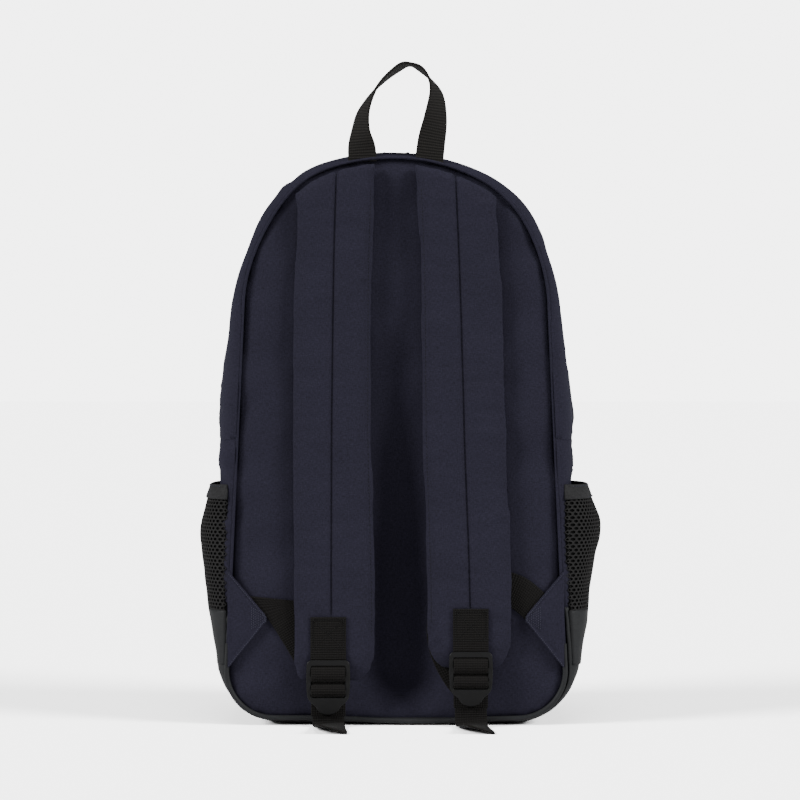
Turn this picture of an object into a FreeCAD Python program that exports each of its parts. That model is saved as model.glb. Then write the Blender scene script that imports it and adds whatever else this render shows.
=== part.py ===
import FreeCAD, Part
import math
import os

import Sketcher

# Racket backpack, millimetres. +Z is up, -Y is the harness side, the origin is the middle of the
# flat underside. Sides are named as seen from the harness side: left is -X, right is +X.

Vector = FreeCAD.Vector
Rotation = FreeCAD.Rotation
Placement = FreeCAD.Placement
acrossAxis = Vector(0, 1, 0)
sideAxis = Vector(1, 0, 0)
upAxis = Vector(0, 0, 1)

sizes = {
    # main outline: half-round top, sides that flare downwards, rounded bottom corners
    "main_radius": 140, "main_centre": 344, "main_flare": 3.0, "main_corner": 60, "main_bottom": 0,
    # back panel outline, inside the seam
    "panel_radius": 130, "panel_centre": 349, "panel_flare": 2.6, "panel_corner": 40, "panel_bottom": 6,
    # front face outline
    "front_radius": 118, "front_centre": 322, "front_flare": 2.6, "front_corner": 50, "front_bottom": 8,
    # front pouch outline
    "pouch_radius": 104, "pouch_centre": 118, "pouch_flare": 1.5, "pouch_corner": 35, "pouch_bottom": 22,
    # depths, measured from the zip plane
    "panel_depth": 75, "full_depth_rear": 58, "full_depth_front": 35, "front_depth": 75,
    "pouch_thick": 35, "pouch_round": 12, "pouch_straight": 25, "pouch_lean": 3,
    # cloth and board thicknesses
    "wall": 2, "cover_thick": 1.5, "foam_thick": 8, "lining_thick": 1, "foam_margin": 4,
    "board_thick": 3, "divider_thick": 4, "divider_rear": 22, "divider_top": 330,
    "binding_thick": 4, "binding_lip": 0.5, "piping_half": 1.4, "sewn_gap": 0.2,
    # heights at which the cloth changes
    "wrap_top": 100, "flap_hinge": 242, "hinge_gap": 0.6, "piping_stop": 10,
    # main zip
    "zip_half": 9, "coil_far": 2.8, "coil_near": 0.6, "tape_drop": 0.5, "tape_thick": 1,
    "coil_rise": 0.6, "coil_drop": 1.8, "slider_start": 4, "slider_half": 5.5, "slider_across": 4.5,
    "slider_over": 1.8, "slider_under": 3.2, "slider_plate": 1.3, "post_half": 0.3, "post_long": 2,
    "ear_inner": 1.95, "ear_outer": 2.85, "ear_half": 1.6, "ear_rise": 3.4, "pin_radius": 0.7,
    "pin_rise": 2.3, "eye_gap": 0.3, "eye_wall": 0.9, "eye_half": 1.65, "pull_neck": 4,
    "pull_long": 30, "pull_half": 4, "pull_thick": 1.8,
    # pouch zip
    "pouch_zip_high": 178, "pouch_zip_half": 4, "pouch_zip_long": 72, "pouch_coil_half": 1.1,
    "pouch_coil_rise": 0.5, "pouch_slider_start": 58,
    # side pockets: how far each level stands out from the bag's side, and how deep its curve is
    "pocket_low": 62, "pocket_belly": 165, "pocket_edge": 188, "pocket_mouth": 200,
    "pocket_out_low": 2, "pocket_out_wrap": 8, "pocket_out_belly": 18, "pocket_out_edge": 15,
    "pocket_out_mouth": 13, "pocket_half": 50, "pocket_wall": 1, "pocket_floor": 3, "pocket_root": 4,
    # shoulder straps
    "strap_wide": 68, "strap_lift": 2.3, "strap_face_thick": 1.5, "strap_foam_thick": 6,
    "strap_back_thick": 1.5, "strap_round": 18, "strap_trim": 2, "strap_over": 8,
    "left_top_x": -49, "left_low_x": -52, "left_low_z": 36,
    "right_top_x": 50, "right_low_x": 62, "right_low_z": 46,
    # ladder locks and their webbing
    "left_lock_x": -57, "left_lock_z": 52, "right_lock_x": 63, "right_lock_z": 59,
    "lock_half": 18.5, "lock_rail": 3.4, "lock_thick": 3.8, "lock_bar": 1.9, "lock_lift": 5.1,
    "rung_tall": 3.5, "first_rung": 11, "second_rung": 22, "tongue_top": 29, "lock_above": 2.5,
    "tongue_radius": 11, "lock_long": 43, "loop_gap": 0.3, "web_thick": 1.5, "web_half": 14.6,
    "loop_half": 14.5, "patch_half": 15, "patch_tall": 38, "patch_gap": 5, "tail_gap": 0.8,
    "tail_half": 13.5, "tail_reach": 62, "tail_fold": 12,
    # triangle tabs and adjuster webbing
    "tab_high": 127, "tab_tip_high": 88, "tab_tip_in": 32, "tab_low": 47, "tab_thick": 1.6,
    "tab_lift": 2, "adjuster_lift": 0.3, "adjuster_thick": 1.4,
    # grab handle
    "handle_x": -1, "handle_half": 29, "handle_thick": 2.5, "handle_wide": 24, "handle_rise": 2.1,
    "handle_crown": 34, "handle_round": 53, "handle_lap": 5,
}

document = FreeCAD.newDocument("racket_backpack")
sheet = document.addObject("Spreadsheet::Sheet", "Sizes")
for row, (alias, number) in enumerate(sizes.items(), start=1):
    sheet.set(f"A{row}", alias.replace("_", " "))
    sheet.set(f"B{row}", str(number))
    sheet.setAlias(f"B{row}", alias)
document.recompute()

subparts = []


def size(text):
    """Each size name in a short formula, turned into a reference to its sheet cell."""
    words = []
    word = ""
    for letter in f"{text} ":
        if letter.isalnum() or letter in "_.":
            word += letter
            continue
        words.append(f"Sizes.{word}" if word in sizes else word)
        words.append(letter)
        word = ""
    return "".join(words).strip()


def number(text):
    """The value that a formula has now."""
    return float(sheet.evalExpression(size(text)))


def bind(item, **formulas):
    """Ties properties to formulas; a double underscore in a name stands for a dot."""
    for name, text in formulas.items():
        item.setExpression(name.replace("__", "."), size(text))
    return item


def name_part(item, label):
    item.Label = label
    subparts.append(item)
    return item


# ---- building blocks -------------------------------------------------------------------------

def box(name, x, y, z):
    """A block between pairs of formulas."""
    block = document.addObject("Part::Box", name)
    bind(block, Length=f"({x[1]}) - ({x[0]})", Width=f"({y[1]}) - ({y[0]})", Height=f"({z[1]}) - ({z[0]})")
    return bind(block, Placement__Base__x=x[0], Placement__Base__y=y[0], Placement__Base__z=z[0])


def rod(name, radius, along, start, length):
    """A round rod from start (three formulas) along the X or Y axis."""
    item = document.addObject("Part::Cylinder", name)
    turn = Rotation(acrossAxis, 90) if along == "x" else Rotation(sideAxis, -90)
    item.Placement = Placement(Vector(0, 0, 0), turn)
    bind(item, Radius=radius, Height=length)
    return bind(item, Placement__Base__x=start[0], Placement__Base__y=start[1], Placement__Base__z=start[2])


def cut(name, base, tool):
    item = document.addObject("Part::Cut", name)
    item.Base = base
    item.Tool = tool
    return item


def common(name, base, tool):
    item = document.addObject("Part::Common", name)
    item.Base = base
    item.Tool = tool
    return item


def fuse(name, pieces):
    item = document.addObject("Part::MultiFuse", name)
    item.Shapes = pieces
    return item


def origin_plane(body, role):
    return next(feature for feature in body.Origin.OriginFeatures if feature.Role == role)


def new_sketch(body, name, role, offset):
    """A sketch on one of the body's own origin planes, moved along its normal."""
    sketch = body.newObject("Sketcher::SketchObject", name)
    sketch.AttachmentSupport = [(origin_plane(body, role), "")]
    sketch.MapMode = "FlatFace"
    sketch.setExpression("AttachmentOffset.Base.z", size(offset))
    return sketch


def constrain(sketch, kind, *places, drive=None):
    """One constraint; drive is its formula where it has a size."""
    if drive is None:
        sketch.addConstraint(Sketcher.Constraint(kind, *places))
        return
    text = f"(90 + {drive}) * 1 deg" if kind == "Angle" else drive
    start = math.radians(90 + number(drive)) if kind == "Angle" else number(drive)
    index = sketch.addConstraint(Sketcher.Constraint(kind, *places, start))
    sketch.setExpression(f"Constraints[{index}]", size(text))


def arch_sketch(body, name, family, inset, depth):
    """The bag's arch outline on a plane at Y = depth: bottom, corners, flared sides, round top."""
    sketch = new_sketch(body, name, "XZ_Plane", f"-({depth})")
    radius = number(f"{family}_radius - ({inset})")
    corner = number(f"{family}_corner - ({inset})")
    bottom = number(f"{family}_bottom + ({inset})")
    centre = number(f"{family}_centre")
    flare = math.radians(number(f"{family}_flare"))
    reach = (radius - corner + (centre - bottom - corner) * math.sin(flare)) / math.cos(flare)

    def on_circle(x, z, span, angle):
        return Vector(x + span * math.cos(angle), z + span * math.sin(angle), 0)

    def arc(x, z, span, start, end):
        circle = Part.Circle(Vector(x, z, 0), upAxis, span)
        return Part.ArcOfCircle(circle, start, end)

    right_low = on_circle(reach, bottom + corner, corner, flare)
    right_high = on_circle(0, centre, radius, flare)
    left_high = on_circle(0, centre, radius, math.pi - flare)
    left_low = on_circle(-reach, bottom + corner, corner, math.pi - flare)
    sketch.addGeometry([
        Part.LineSegment(Vector(-reach, bottom, 0), Vector(reach, bottom, 0)),
        arc(reach, bottom + corner, corner, -math.pi / 2, flare),
        Part.LineSegment(right_low, right_high),
        arc(0, centre, radius, flare, math.pi - flare),
        Part.LineSegment(left_high, left_low),
        arc(-reach, bottom + corner, corner, math.pi - flare, 1.5 * math.pi),
    ], False)
    for edge in range(6):
        constrain(sketch, "Tangent", edge, 2, (edge + 1) % 6, 1)
    constrain(sketch, "Symmetric", 0, 1, 0, 2, -2)
    constrain(sketch, "PointOnObject", 3, 3, -2)
    constrain(sketch, "Equal", 1, 5)
    constrain(sketch, "Radius", 3, drive=f"{family}_radius - ({inset})")
    constrain(sketch, "Radius", 1, drive=f"{family}_corner - ({inset})")
    constrain(sketch, "DistanceY", -1, 1, 3, 3, drive=f"{family}_centre")
    constrain(sketch, "DistanceY", 0, 1, 3, 3, drive=f"{family}_centre - {family}_bottom - ({inset})")
    constrain(sketch, "Angle", 2, drive=f"{family}_flare")
    return sketch


def arch_loft(name, stations):
    """A solid ruled through arch outlines, each (family, inset, depth)."""
    body = document.addObject("PartDesign::Body", name)
    sections = []
    for index, (family, inset, depth) in enumerate(stations):
        sections.append(arch_sketch(body, f"{name}_section_{index}", family, inset, depth))
    loft = body.newObject("PartDesign::AdditiveLoft", f"{name}_loft")
    loft.Profile = sections[0]
    loft.Sections = sections[1:]
    loft.Ruled = True
    return body


def pad_towards_back(body, sketch, length):
    """Pads along -Y, which is the normal of an XZ sketch."""
    pad = body.newObject("PartDesign::Pad", f"{body.Name}_pad")
    pad.Profile = sketch
    return bind(pad, Length=length)


def arch_plate(name, family, inset, rear, front):
    """A flat plate with the arch outline between two depths."""
    body = document.addObject("PartDesign::Body", name)
    pad_towards_back(body, arch_sketch(body, f"{name}_outline", family, inset, front), f"({front}) - ({rear})")
    return body


def arch_ring(name, family, outside, inside, rear, front):
    """A band that follows the arch outline, between two insets and two depths."""
    outer = arch_plate(f"{name}_outer", family, outside, rear, front)
    inner = arch_plate(f"{name}_inner", family, inside, f"{rear} - 1", f"{front} + 1")
    return cut(f"{name}_band", outer, inner)


def polygon_plate(name, corners, rear, front):
    """A flat plate between two depths whose corners are pairs of formulas for X and Z."""
    body = document.addObject("PartDesign::Body", name)
    sketch = new_sketch(body, f"{name}_outline", "XZ_Plane", f"-({front})")
    points = [Vector(number(x), number(z), 0) for x, z in corners]
    for index, point in enumerate(points):
        sketch.addGeometry(Part.LineSegment(point, points[(index + 1) % len(points)]), False)
    for index in range(len(points)):
        constrain(sketch, "Coincident", index, 2, (index + 1) % len(points), 1)
    for index, (x, z) in enumerate(corners):
        constrain(sketch, "DistanceX", -1, 1, index, 1, drive=x)
        constrain(sketch, "DistanceY", -1, 1, index, 1, drive=z)
    pad_towards_back(body, sketch, f"({front}) - ({rear})")
    return body


def side_x(family, height):
    """Formula for the half width of an arch outline on its straight side."""
    return f"({family}_radius + ({family}_centre - ({height})) * sin({family}_flare)) / cos({family}_flare)"


# ---- bag shell -------------------------------------------------------------------------------

outer_form = arch_loft("outer_form", [
    ("panel", "0", "-panel_depth"),
    ("main", "0", "-full_depth_rear"),
    ("main", "0", "full_depth_front"),
    ("front", "0", "front_depth"),
])
inner_form = arch_loft("inner_form", [
    ("panel", "wall", "-panel_depth - 1"),
    ("panel", "wall", "-panel_depth"),
    ("main", "wall", "-full_depth_rear"),
    ("main", "wall", "full_depth_front"),
    ("front", "wall", "front_depth - wall"),
])
shell = cut("shell", outer_form, inner_form)

wide = ("-2 * main_radius", "2 * main_radius")
upwards = "main_centre + 2 * main_radius"
front_inside = "front_depth - wall"


def shell_piece(label, x, y, z):
    return name_part(common(f"{label}_cloth", shell, box(f"{label}_region", x, y, z)), label)


def make_shell():
    low = ("wrap_top", "flap_hinge")
    rear_high = ("flap_hinge", upwards)
    flap_high = ("flap_hinge + hinge_gap", upwards)
    body_depth = ("-panel_depth", front_inside)
    skin_depth = (front_inside, "front_depth")
    shell_piece("base_wrap", wide, ("-panel_depth", "front_depth"), ("main_bottom", "wrap_top"))
    shell_piece("side_panel_left", (wide[0], "0"), body_depth, low)
    shell_piece("side_panel_right", ("0", wide[1]), body_depth, low)
    shell_piece("front_panel_lower", wide, skin_depth, low)
    shell_piece("rear_gusset", wide, ("-panel_depth", "-zip_half"), rear_high)
    shell_piece("front_gusset", wide, ("zip_half", front_inside), flap_high)
    shell_piece("front_flap_panel", wide, skin_depth, flap_high)


def make_back_panel():
    face = "-panel_depth"
    layers = [
        ("back_panel_cover", "cover_thick", "wall"),
        ("back_panel_foam", "foam_thick", "wall + foam_margin"),
        ("back_panel_lining", "lining_thick", "wall"),
    ]
    for label, thick, inset in layers:
        name_part(arch_plate(f"{label}_layer", "panel", inset, face, f"{face} + {thick}"), label)
        face = f"{face} + {thick}"


def make_inside():
    board_top = "main_bottom + wall + board_thick"
    board = box("board_region", wide, ("-full_depth_rear", "full_depth_front"), ("main_bottom + wall", board_top))
    name_part(common("board_sheet", inner_form, board), "base_board")
    divider_depth = ("-divider_rear", "-divider_rear + divider_thick")
    divider = box("divider_region", wide, divider_depth, (board_top, "divider_top"))
    name_part(common("divider_sheet", inner_form, divider), "racket_divider")
    edge_depth = ("-divider_rear - binding_lip", "-divider_rear + divider_thick + binding_lip")
    edge = box("divider_edge_region", wide, edge_depth, ("divider_top", "divider_top + binding_thick"))
    name_part(common("divider_edge_sheet", inner_form, edge), "divider_binding")


def make_piping():
    ring = ("-piping_half", "piping_half")
    rear = arch_ring("rear_cord", "panel", *ring, "-panel_depth - 2 * piping_half", "-panel_depth")
    name_part(rear, "rear_piping")
    front = arch_ring("front_cord", "front", *ring, "front_depth", "front_depth + 2 * piping_half")
    depth = ("front_depth - 1", "front_depth + 3 * piping_half")
    upper = box("flap_cord_region", wide, depth, ("flap_hinge + piping_stop", upwards))
    lower = box("low_cord_region", wide, depth, ("-piping_stop", "flap_hinge - piping_stop"))
    name_part(common("flap_cord", front, upper), "flap_piping")
    name_part(common("low_cord", front, lower), "front_piping")


# ---- zips ------------------------------------------------------------------------------------

def make_main_zip():
    bands = [
        ("main_zip_tape_rear", "tape_drop", "tape_drop + tape_thick", "-zip_half", "-coil_far", "0"),
        ("main_zip_coil_rear", "-coil_rise", "coil_drop", "-coil_far", "-coil_near", "0"),
        ("main_zip_tape_front", "tape_drop", "tape_drop + tape_thick", "coil_far", "zip_half", "hinge_gap"),
        ("main_zip_coil_front", "-coil_rise", "coil_drop", "coil_near", "coil_far", "hinge_gap"),
    ]
    for label, outside, inside, rear, front, gap in bands:
        ring = arch_ring(label, "main", outside, inside, rear, front)
        region = box(f"{label}_region", wide, (rear, front), (f"flap_hinge + {gap}", upwards))
        name_part(common(f"{label}_arch", ring, region), label)


def slider_bail(name, base):
    """Two ears and a pin along Y that carry the pull; base is the formula for the plate's top."""
    ears = []
    for side, near, far in (("rear", "-ear_outer", "-ear_inner"), ("front", "ear_inner", "ear_outer")):
        depth = (near, far)
        ears.append(box(f"{name}_{side}_ear", ("-ear_half", "ear_half"), depth, (base, f"{base} + ear_rise")))
    start = ("0", "-ear_inner - (ear_outer - ear_inner) / 2", f"{base} + pin_rise")
    pin = rod(f"{name}_pin", "pin_radius", "y", start, "ear_inner + ear_outer")
    return fuse(f"{name}_bail", ears + [pin])


def pull_tab(name, base, direction=1):
    """The pull at rest: an eye on the pin and a flat tab that lies along +X, or -X at direction -1."""
    high = f"{base} + pin_rise"
    eye_radius = "pin_radius + eye_gap + eye_wall"
    eye_start = ("0", "-eye_half", high)
    eye = rod(f"{name}_eye", eye_radius, "y", eye_start, "2 * eye_half")
    tab_height = (f"{high} - pull_thick / 2", f"{high} + pull_thick / 2")
    neck_length = ("0", "pull_neck") if direction > 0 else ("-pull_neck", "0")
    tab_length = ("pull_neck", "pull_long") if direction > 0 else ("-pull_long", "-pull_neck")
    neck = box(f"{name}_neck", neck_length, ("-eye_half", "eye_half"), tab_height)
    tab = box(f"{name}_tab", tab_length, ("-pull_half", "pull_half"), tab_height)
    solid = fuse(f"{name}_blank", [eye, neck, tab])
    hole = rod(f"{name}_hole", "pin_radius + eye_gap", "y", ("0", "-eye_half - 1", high), "2 * eye_half + 2")
    return cut(f"{name}_solid", solid, hole)


def turn_about_zip(item, direction):
    """Carries a piece made at the top of the zip round the arch's centre, to its starting place."""
    item.Placement = Placement(Vector(0, 0, 0), Rotation(Vector(0, direction, 0), 10))
    bind(item, Placement__Rotation__Angle="slider_start * 1 deg")
    bind(item, Placement__Base__x=f"-main_centre * sin({direction} * slider_start)")
    return bind(item, Placement__Base__z="main_centre * (1 - cos(slider_start))")


def make_main_sliders():
    skin = "main_centre + main_radius"
    plate_top = f"{skin} + slider_over + slider_plate"
    across = ("-slider_across", "slider_across")
    for side, direction in (("left", -1), ("right", 1)):
        name = f"main_{side}"
        upper = box(f"{name}_upper", ("-slider_half", "slider_half"), across,
                    (f"{skin} + slider_over", plate_top))
        lower = box(f"{name}_lower", ("-slider_half", "slider_half"), across,
                    (f"{skin} - slider_under - slider_plate", f"{skin} - slider_under"))
        inner_end = "-slider_half" if direction > 0 else "slider_half - post_long"
        post = box(f"{name}_post", (inner_end, f"{inner_end} + post_long"), ("-post_half", "post_half"),
                   (f"{skin} - slider_under", f"{skin} + slider_over"))
        slider = fuse(f"{name}_slider", [upper, lower, post, slider_bail(name, plate_top)])
        name_part(turn_about_zip(slider, direction), f"main_slider_{side}")
        pull = pull_tab(f"{name}_pull", plate_top, direction)
        name_part(turn_about_zip(pull, direction), f"main_pull_{side}")


def make_pouch():
    rear = "front_depth"
    straight = f"{rear} + pouch_straight"
    face = f"{rear} + pouch_thick"
    outer = arch_loft("pouch_outer", [
        ("pouch", "0", rear),
        ("pouch", "pouch_lean", straight),
        ("pouch", "pouch_round", face),
    ])
    inner = arch_loft("pouch_inner", [
        ("pouch", "wall", f"{rear} - 1"),
        ("pouch", "wall", rear),
        ("pouch", "pouch_lean + wall", straight),
        ("pouch", "pouch_round + wall", f"{face} - wall"),
    ])
    height = ("pouch_zip_high - pouch_zip_half", "pouch_zip_high + pouch_zip_half")
    length = ("-pouch_zip_long", "pouch_zip_long")
    slot = box("pouch_slot", length, (f"{face} - 2 * wall", f"{face} + wall"), height)
    name_part(cut("pouch_cloth", cut("pouch_shell", outer, inner), slot), "front_pouch")
    tape_depth = (f"{face} - wall / 2 - tape_thick / 2", f"{face} - wall / 2 + tape_thick / 2")
    name_part(box("pouch_tape", length, tape_depth, height), "pouch_zip_tape")
    coil_height = ("pouch_zip_high - pouch_coil_half", "pouch_zip_high + pouch_coil_half")
    coil_depth = (tape_depth[1], f"{face} + pouch_coil_rise")
    name_part(box("pouch_coil", length, coil_depth, coil_height), "pouch_zip_coil")
    make_pouch_slider(face)


def make_pouch_slider(face):
    """A slider that runs along X on the pouch's face, with a pull that hangs down."""
    upright = Rotation(sideAxis, -90)
    base = "pouch_coil_rise + slider_over - coil_rise"
    top = f"{base} + slider_plate"
    plate = box("pouch_slider_plate", ("-slider_half", "slider_half"), ("-slider_across", "slider_across"),
                (base, top))
    bail = slider_bail("pouch_slider", top)
    bail.Placement = Placement(Vector(0, 0, 0), Rotation(upAxis, 90))
    slider = fuse("pouch_slider_solid", [plate, bail])
    slider.Placement = Placement(Vector(0, 0, 0), upright)
    pull = pull_tab("pouch_tab", top)
    pull.Placement = Placement(Vector(0, 0, 0), upright.multiply(Rotation(upAxis, 90)))
    for label, item in (("pouch_slider", slider), ("pouch_pull", pull)):
        bind(item, Placement__Base__x="-pouch_slider_start", Placement__Base__y=face)
        name_part(bind(item, Placement__Base__z="pouch_zip_high"), label)


# ---- side pockets ----------------------------------------------------------------------------

def pocket_section(body, name, side, height, proud, inset):
    """A D-shaped section at one height: its flat side is inside the bag, its curve stands out."""
    sketch = new_sketch(body, name, "XY_Plane", height)
    edge = side_x("main", height)
    flat = number(f"{edge} - 3 * pocket_root")
    root = number(f"{edge} - pocket_root")
    crest = number(f"{edge} + ({proud}) - ({inset})")
    half = number(f"pocket_half - ({inset})")
    points = [Vector(side * x, y, 0) for x, y in ((flat, -half), (root, -half), (root, half), (flat, half))]
    sketch.addGeometry([
        Part.LineSegment(points[0], points[1]),
        Part.Arc(points[1], Vector(side * crest, 0, 0), points[2]),
        Part.LineSegment(points[2], points[3]),
        Part.LineSegment(points[3], points[0]),
    ], False)
    arc_start = 1 if (sketch.getPoint(1, 1) - points[1]).Length < 0.01 else 2
    constrain(sketch, "Coincident", 0, 2, 1, arc_start)
    constrain(sketch, "Coincident", 1, 3 - arc_start, 2, 1)
    constrain(sketch, "Coincident", 2, 2, 3, 1)
    constrain(sketch, "Coincident", 3, 2, 0, 1)
    constrain(sketch, "Horizontal", 0)
    constrain(sketch, "Horizontal", 2)
    constrain(sketch, "Vertical", 3)
    constrain(sketch, "Symmetric", 0, 2, 2, 1, -1)
    constrain(sketch, "DistanceX", -1, 1, 0, 1, drive=f"{side} * ({edge} - 3 * pocket_root)")
    constrain(sketch, "DistanceX", -1, 1, 0, 2, drive=f"{side} * ({edge} - pocket_root)")
    constrain(sketch, "DistanceY", -1, 1, 2, 1, drive=f"pocket_half - ({inset})")
    rise = f"(pocket_root + ({proud}) - ({inset}))"
    chord = f"(pocket_half - ({inset}))"
    constrain(sketch, "Radius", 1, drive=f"({chord} * {chord} + {rise} * {rise}) / (2 * {rise})")
    return sketch


def pocket_form(name, side, inset, low, high):
    """A solid ruled through the pocket's sections; low and high are the end heights."""
    levels = [
        (low, "pocket_out_low"), ("wrap_top", "pocket_out_wrap"), ("pocket_belly", "pocket_out_belly"),
        ("pocket_edge", "pocket_out_edge"), (high, "pocket_out_mouth"),
    ]
    body = document.addObject("PartDesign::Body", name)
    sections = []
    for index, (height, proud) in enumerate(levels):
        sections.append(pocket_section(body, f"{name}_section_{index}", side, height, proud, inset))
    loft = body.newObject("PartDesign::AdditiveLoft", f"{name}_loft")
    loft.Profile = sections[0]
    loft.Sections = sections[1:]
    loft.Ruled = True
    return body


def make_side_pockets():
    bands = [
        ("pocket_base", ("pocket_low", "wrap_top")),
        ("mesh_pocket", ("wrap_top", "pocket_edge")),
        ("pocket_binding", ("pocket_edge", "pocket_mouth")),
    ]
    for side_name, side in (("left", -1), ("right", 1)):
        outside = pocket_form(f"pocket_outside_{side_name}", side, "0", "pocket_low", "pocket_mouth")
        inside = pocket_form(f"pocket_inside_{side_name}", side, "pocket_wall",
                             "pocket_low + pocket_floor", "pocket_mouth + 1")
        hollow = cut(f"pocket_hollow_{side_name}", outside, inside)
        cloth = cut(f"pocket_cloth_{side_name}", hollow, outer_form)
        for label, height in bands:
            region = box(f"{label}_region_{side_name}", wide, ("-2 * pocket_half", "2 * pocket_half"), height)
            name_part(common(f"{label}_cloth_{side_name}", cloth, region), f"{label}_{side_name}")


# ---- harness ---------------------------------------------------------------------------------

def strap_sketch(body, name, side, depth):
    """Strap outline at Y = depth: straight sides between a top and a lower centre, round lower corners."""
    sketch = new_sketch(body, name, "XZ_Plane", f"-({depth})")
    high = "panel_centre + panel_radius + strap_over"
    top = number(high)
    low = number(f"{side}_low_z")
    bend = number("strap_round")
    edges = {}
    for edge, sign in (("near", -1), ("far", 1)):
        upper = number(f"{side}_top_x + {sign} * strap_wide / 2")
        centre = number(f"{side}_low_x + {sign} * (strap_wide / 2 - strap_round)")
        edges[edge] = (upper, centre)
    near_top, near_centre = edges["near"]
    far_top, far_centre = edges["far"]
    sketch.addGeometry([
        Part.LineSegment(Vector(far_top, top, 0), Vector(near_top, top, 0)),
        Part.LineSegment(Vector(near_top, top, 0), Vector(near_centre - bend, low + bend, 0)),
        Part.ArcOfCircle(Part.Circle(Vector(near_centre, low + bend, 0), upAxis, bend), math.pi, 1.5 * math.pi),
        Part.LineSegment(Vector(near_centre, low, 0), Vector(far_centre, low, 0)),
        Part.ArcOfCircle(Part.Circle(Vector(far_centre, low + bend, 0), upAxis, bend), 1.5 * math.pi,
                         2 * math.pi),
        Part.LineSegment(Vector(far_centre + bend, low + bend, 0), Vector(far_top, top, 0)),
    ], False)
    constrain(sketch, "Coincident", 0, 2, 1, 1)
    for edge in range(1, 5):
        constrain(sketch, "Tangent", edge, 2, edge + 1, 1)
    constrain(sketch, "Coincident", 5, 2, 0, 1)
    constrain(sketch, "Horizontal", 0)
    constrain(sketch, "Horizontal", 3)
    constrain(sketch, "DistanceY", -1, 1, 0, 1, drive=high)
    constrain(sketch, "DistanceX", -1, 1, 0, 1, drive=f"{side}_top_x + strap_wide / 2")
    constrain(sketch, "DistanceX", -1, 1, 0, 2, drive=f"{side}_top_x - strap_wide / 2")
    constrain(sketch, "DistanceY", -1, 1, 3, 1, drive=f"{side}_low_z")
    constrain(sketch, "Radius", 2, drive="strap_round")
    constrain(sketch, "Radius", 4, drive="strap_round")
    constrain(sketch, "DistanceX", -1, 1, 2, 3, drive=f"{side}_low_x - strap_wide / 2 + strap_round")
    constrain(sketch, "DistanceX", -1, 1, 4, 3, drive=f"{side}_low_x + strap_wide / 2 - strap_round")
    return sketch


strap_back = "-panel_depth - strap_lift"
strap_front = "-panel_depth - strap_lift - strap_back_thick - strap_foam_thick - strap_face_thick"


def make_straps():
    trim = arch_plate("strap_trim_form", "panel", "strap_trim", f"{strap_front} - 1", "0")
    for side in ("left", "right"):
        front = strap_back
        layers = (("backing", "strap_back_thick"), ("foam", "strap_foam_thick"), ("face", "strap_face_thick"))
        for layer, thick in layers:
            name = f"strap_{layer}_{side}"
            body = document.addObject("PartDesign::Body", f"{name}_blank")
            pad_towards_back(body, strap_sketch(body, f"{name}_outline", side, front), thick)
            name_part(common(f"{name}_sheet", body, trim), name)
            front = f"{front} - {thick}"


def make_lock(side):
    """Ladder lock with round top bar, two rungs and a half-round tongue, hung on a webbing loop."""
    name = f"lock_{side}"
    middle = f"{side}_lock_x"
    bar = f"{side}_lock_z"
    lock_back = f"{strap_front} - lock_lift + lock_thick / 2"
    lock_front = f"{strap_front} - lock_lift - lock_thick / 2"
    depth = (lock_front, lock_back)
    span = (f"{middle} - lock_half", f"{middle} + lock_half")
    rail_height = (f"{bar} - tongue_top", f"{bar} + lock_above")
    rails = [
        box(f"{name}_rail_near", (span[0], f"{span[0]} + lock_rail"), depth, rail_height),
        box(f"{name}_rail_far", (f"{span[1]} - lock_rail", span[1]), depth, rail_height),
    ]
    rungs = []
    for rung in ("first_rung", "second_rung"):
        rungs.append(box(f"{name}_{rung}", span, depth, (f"{bar} - {rung} - rung_tall", f"{bar} - {rung}")))
    axis_depth = f"{strap_front} - lock_lift"
    top_bar = rod(f"{name}_bar", "lock_bar", "x", (span[0], axis_depth, bar), "2 * lock_half")
    tongue_centre = f"{bar} - lock_long + tongue_radius"
    shoulder = box(f"{name}_shoulder", span, depth, (tongue_centre, f"{bar} - tongue_top"))
    start = (middle, lock_front, tongue_centre)
    disc = rod(f"{name}_disc", "tongue_radius", "y", start, "lock_thick")
    low_half = box(f"{name}_low_half", span, depth, (f"{bar} - 2 * lock_long", tongue_centre))
    tongue = common(f"{name}_tongue", disc, low_half)
    lock = fuse(f"{name}_solid", rails + rungs + [top_bar, shoulder, tongue])
    name_part(lock, f"ladder_lock_{side}")


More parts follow.
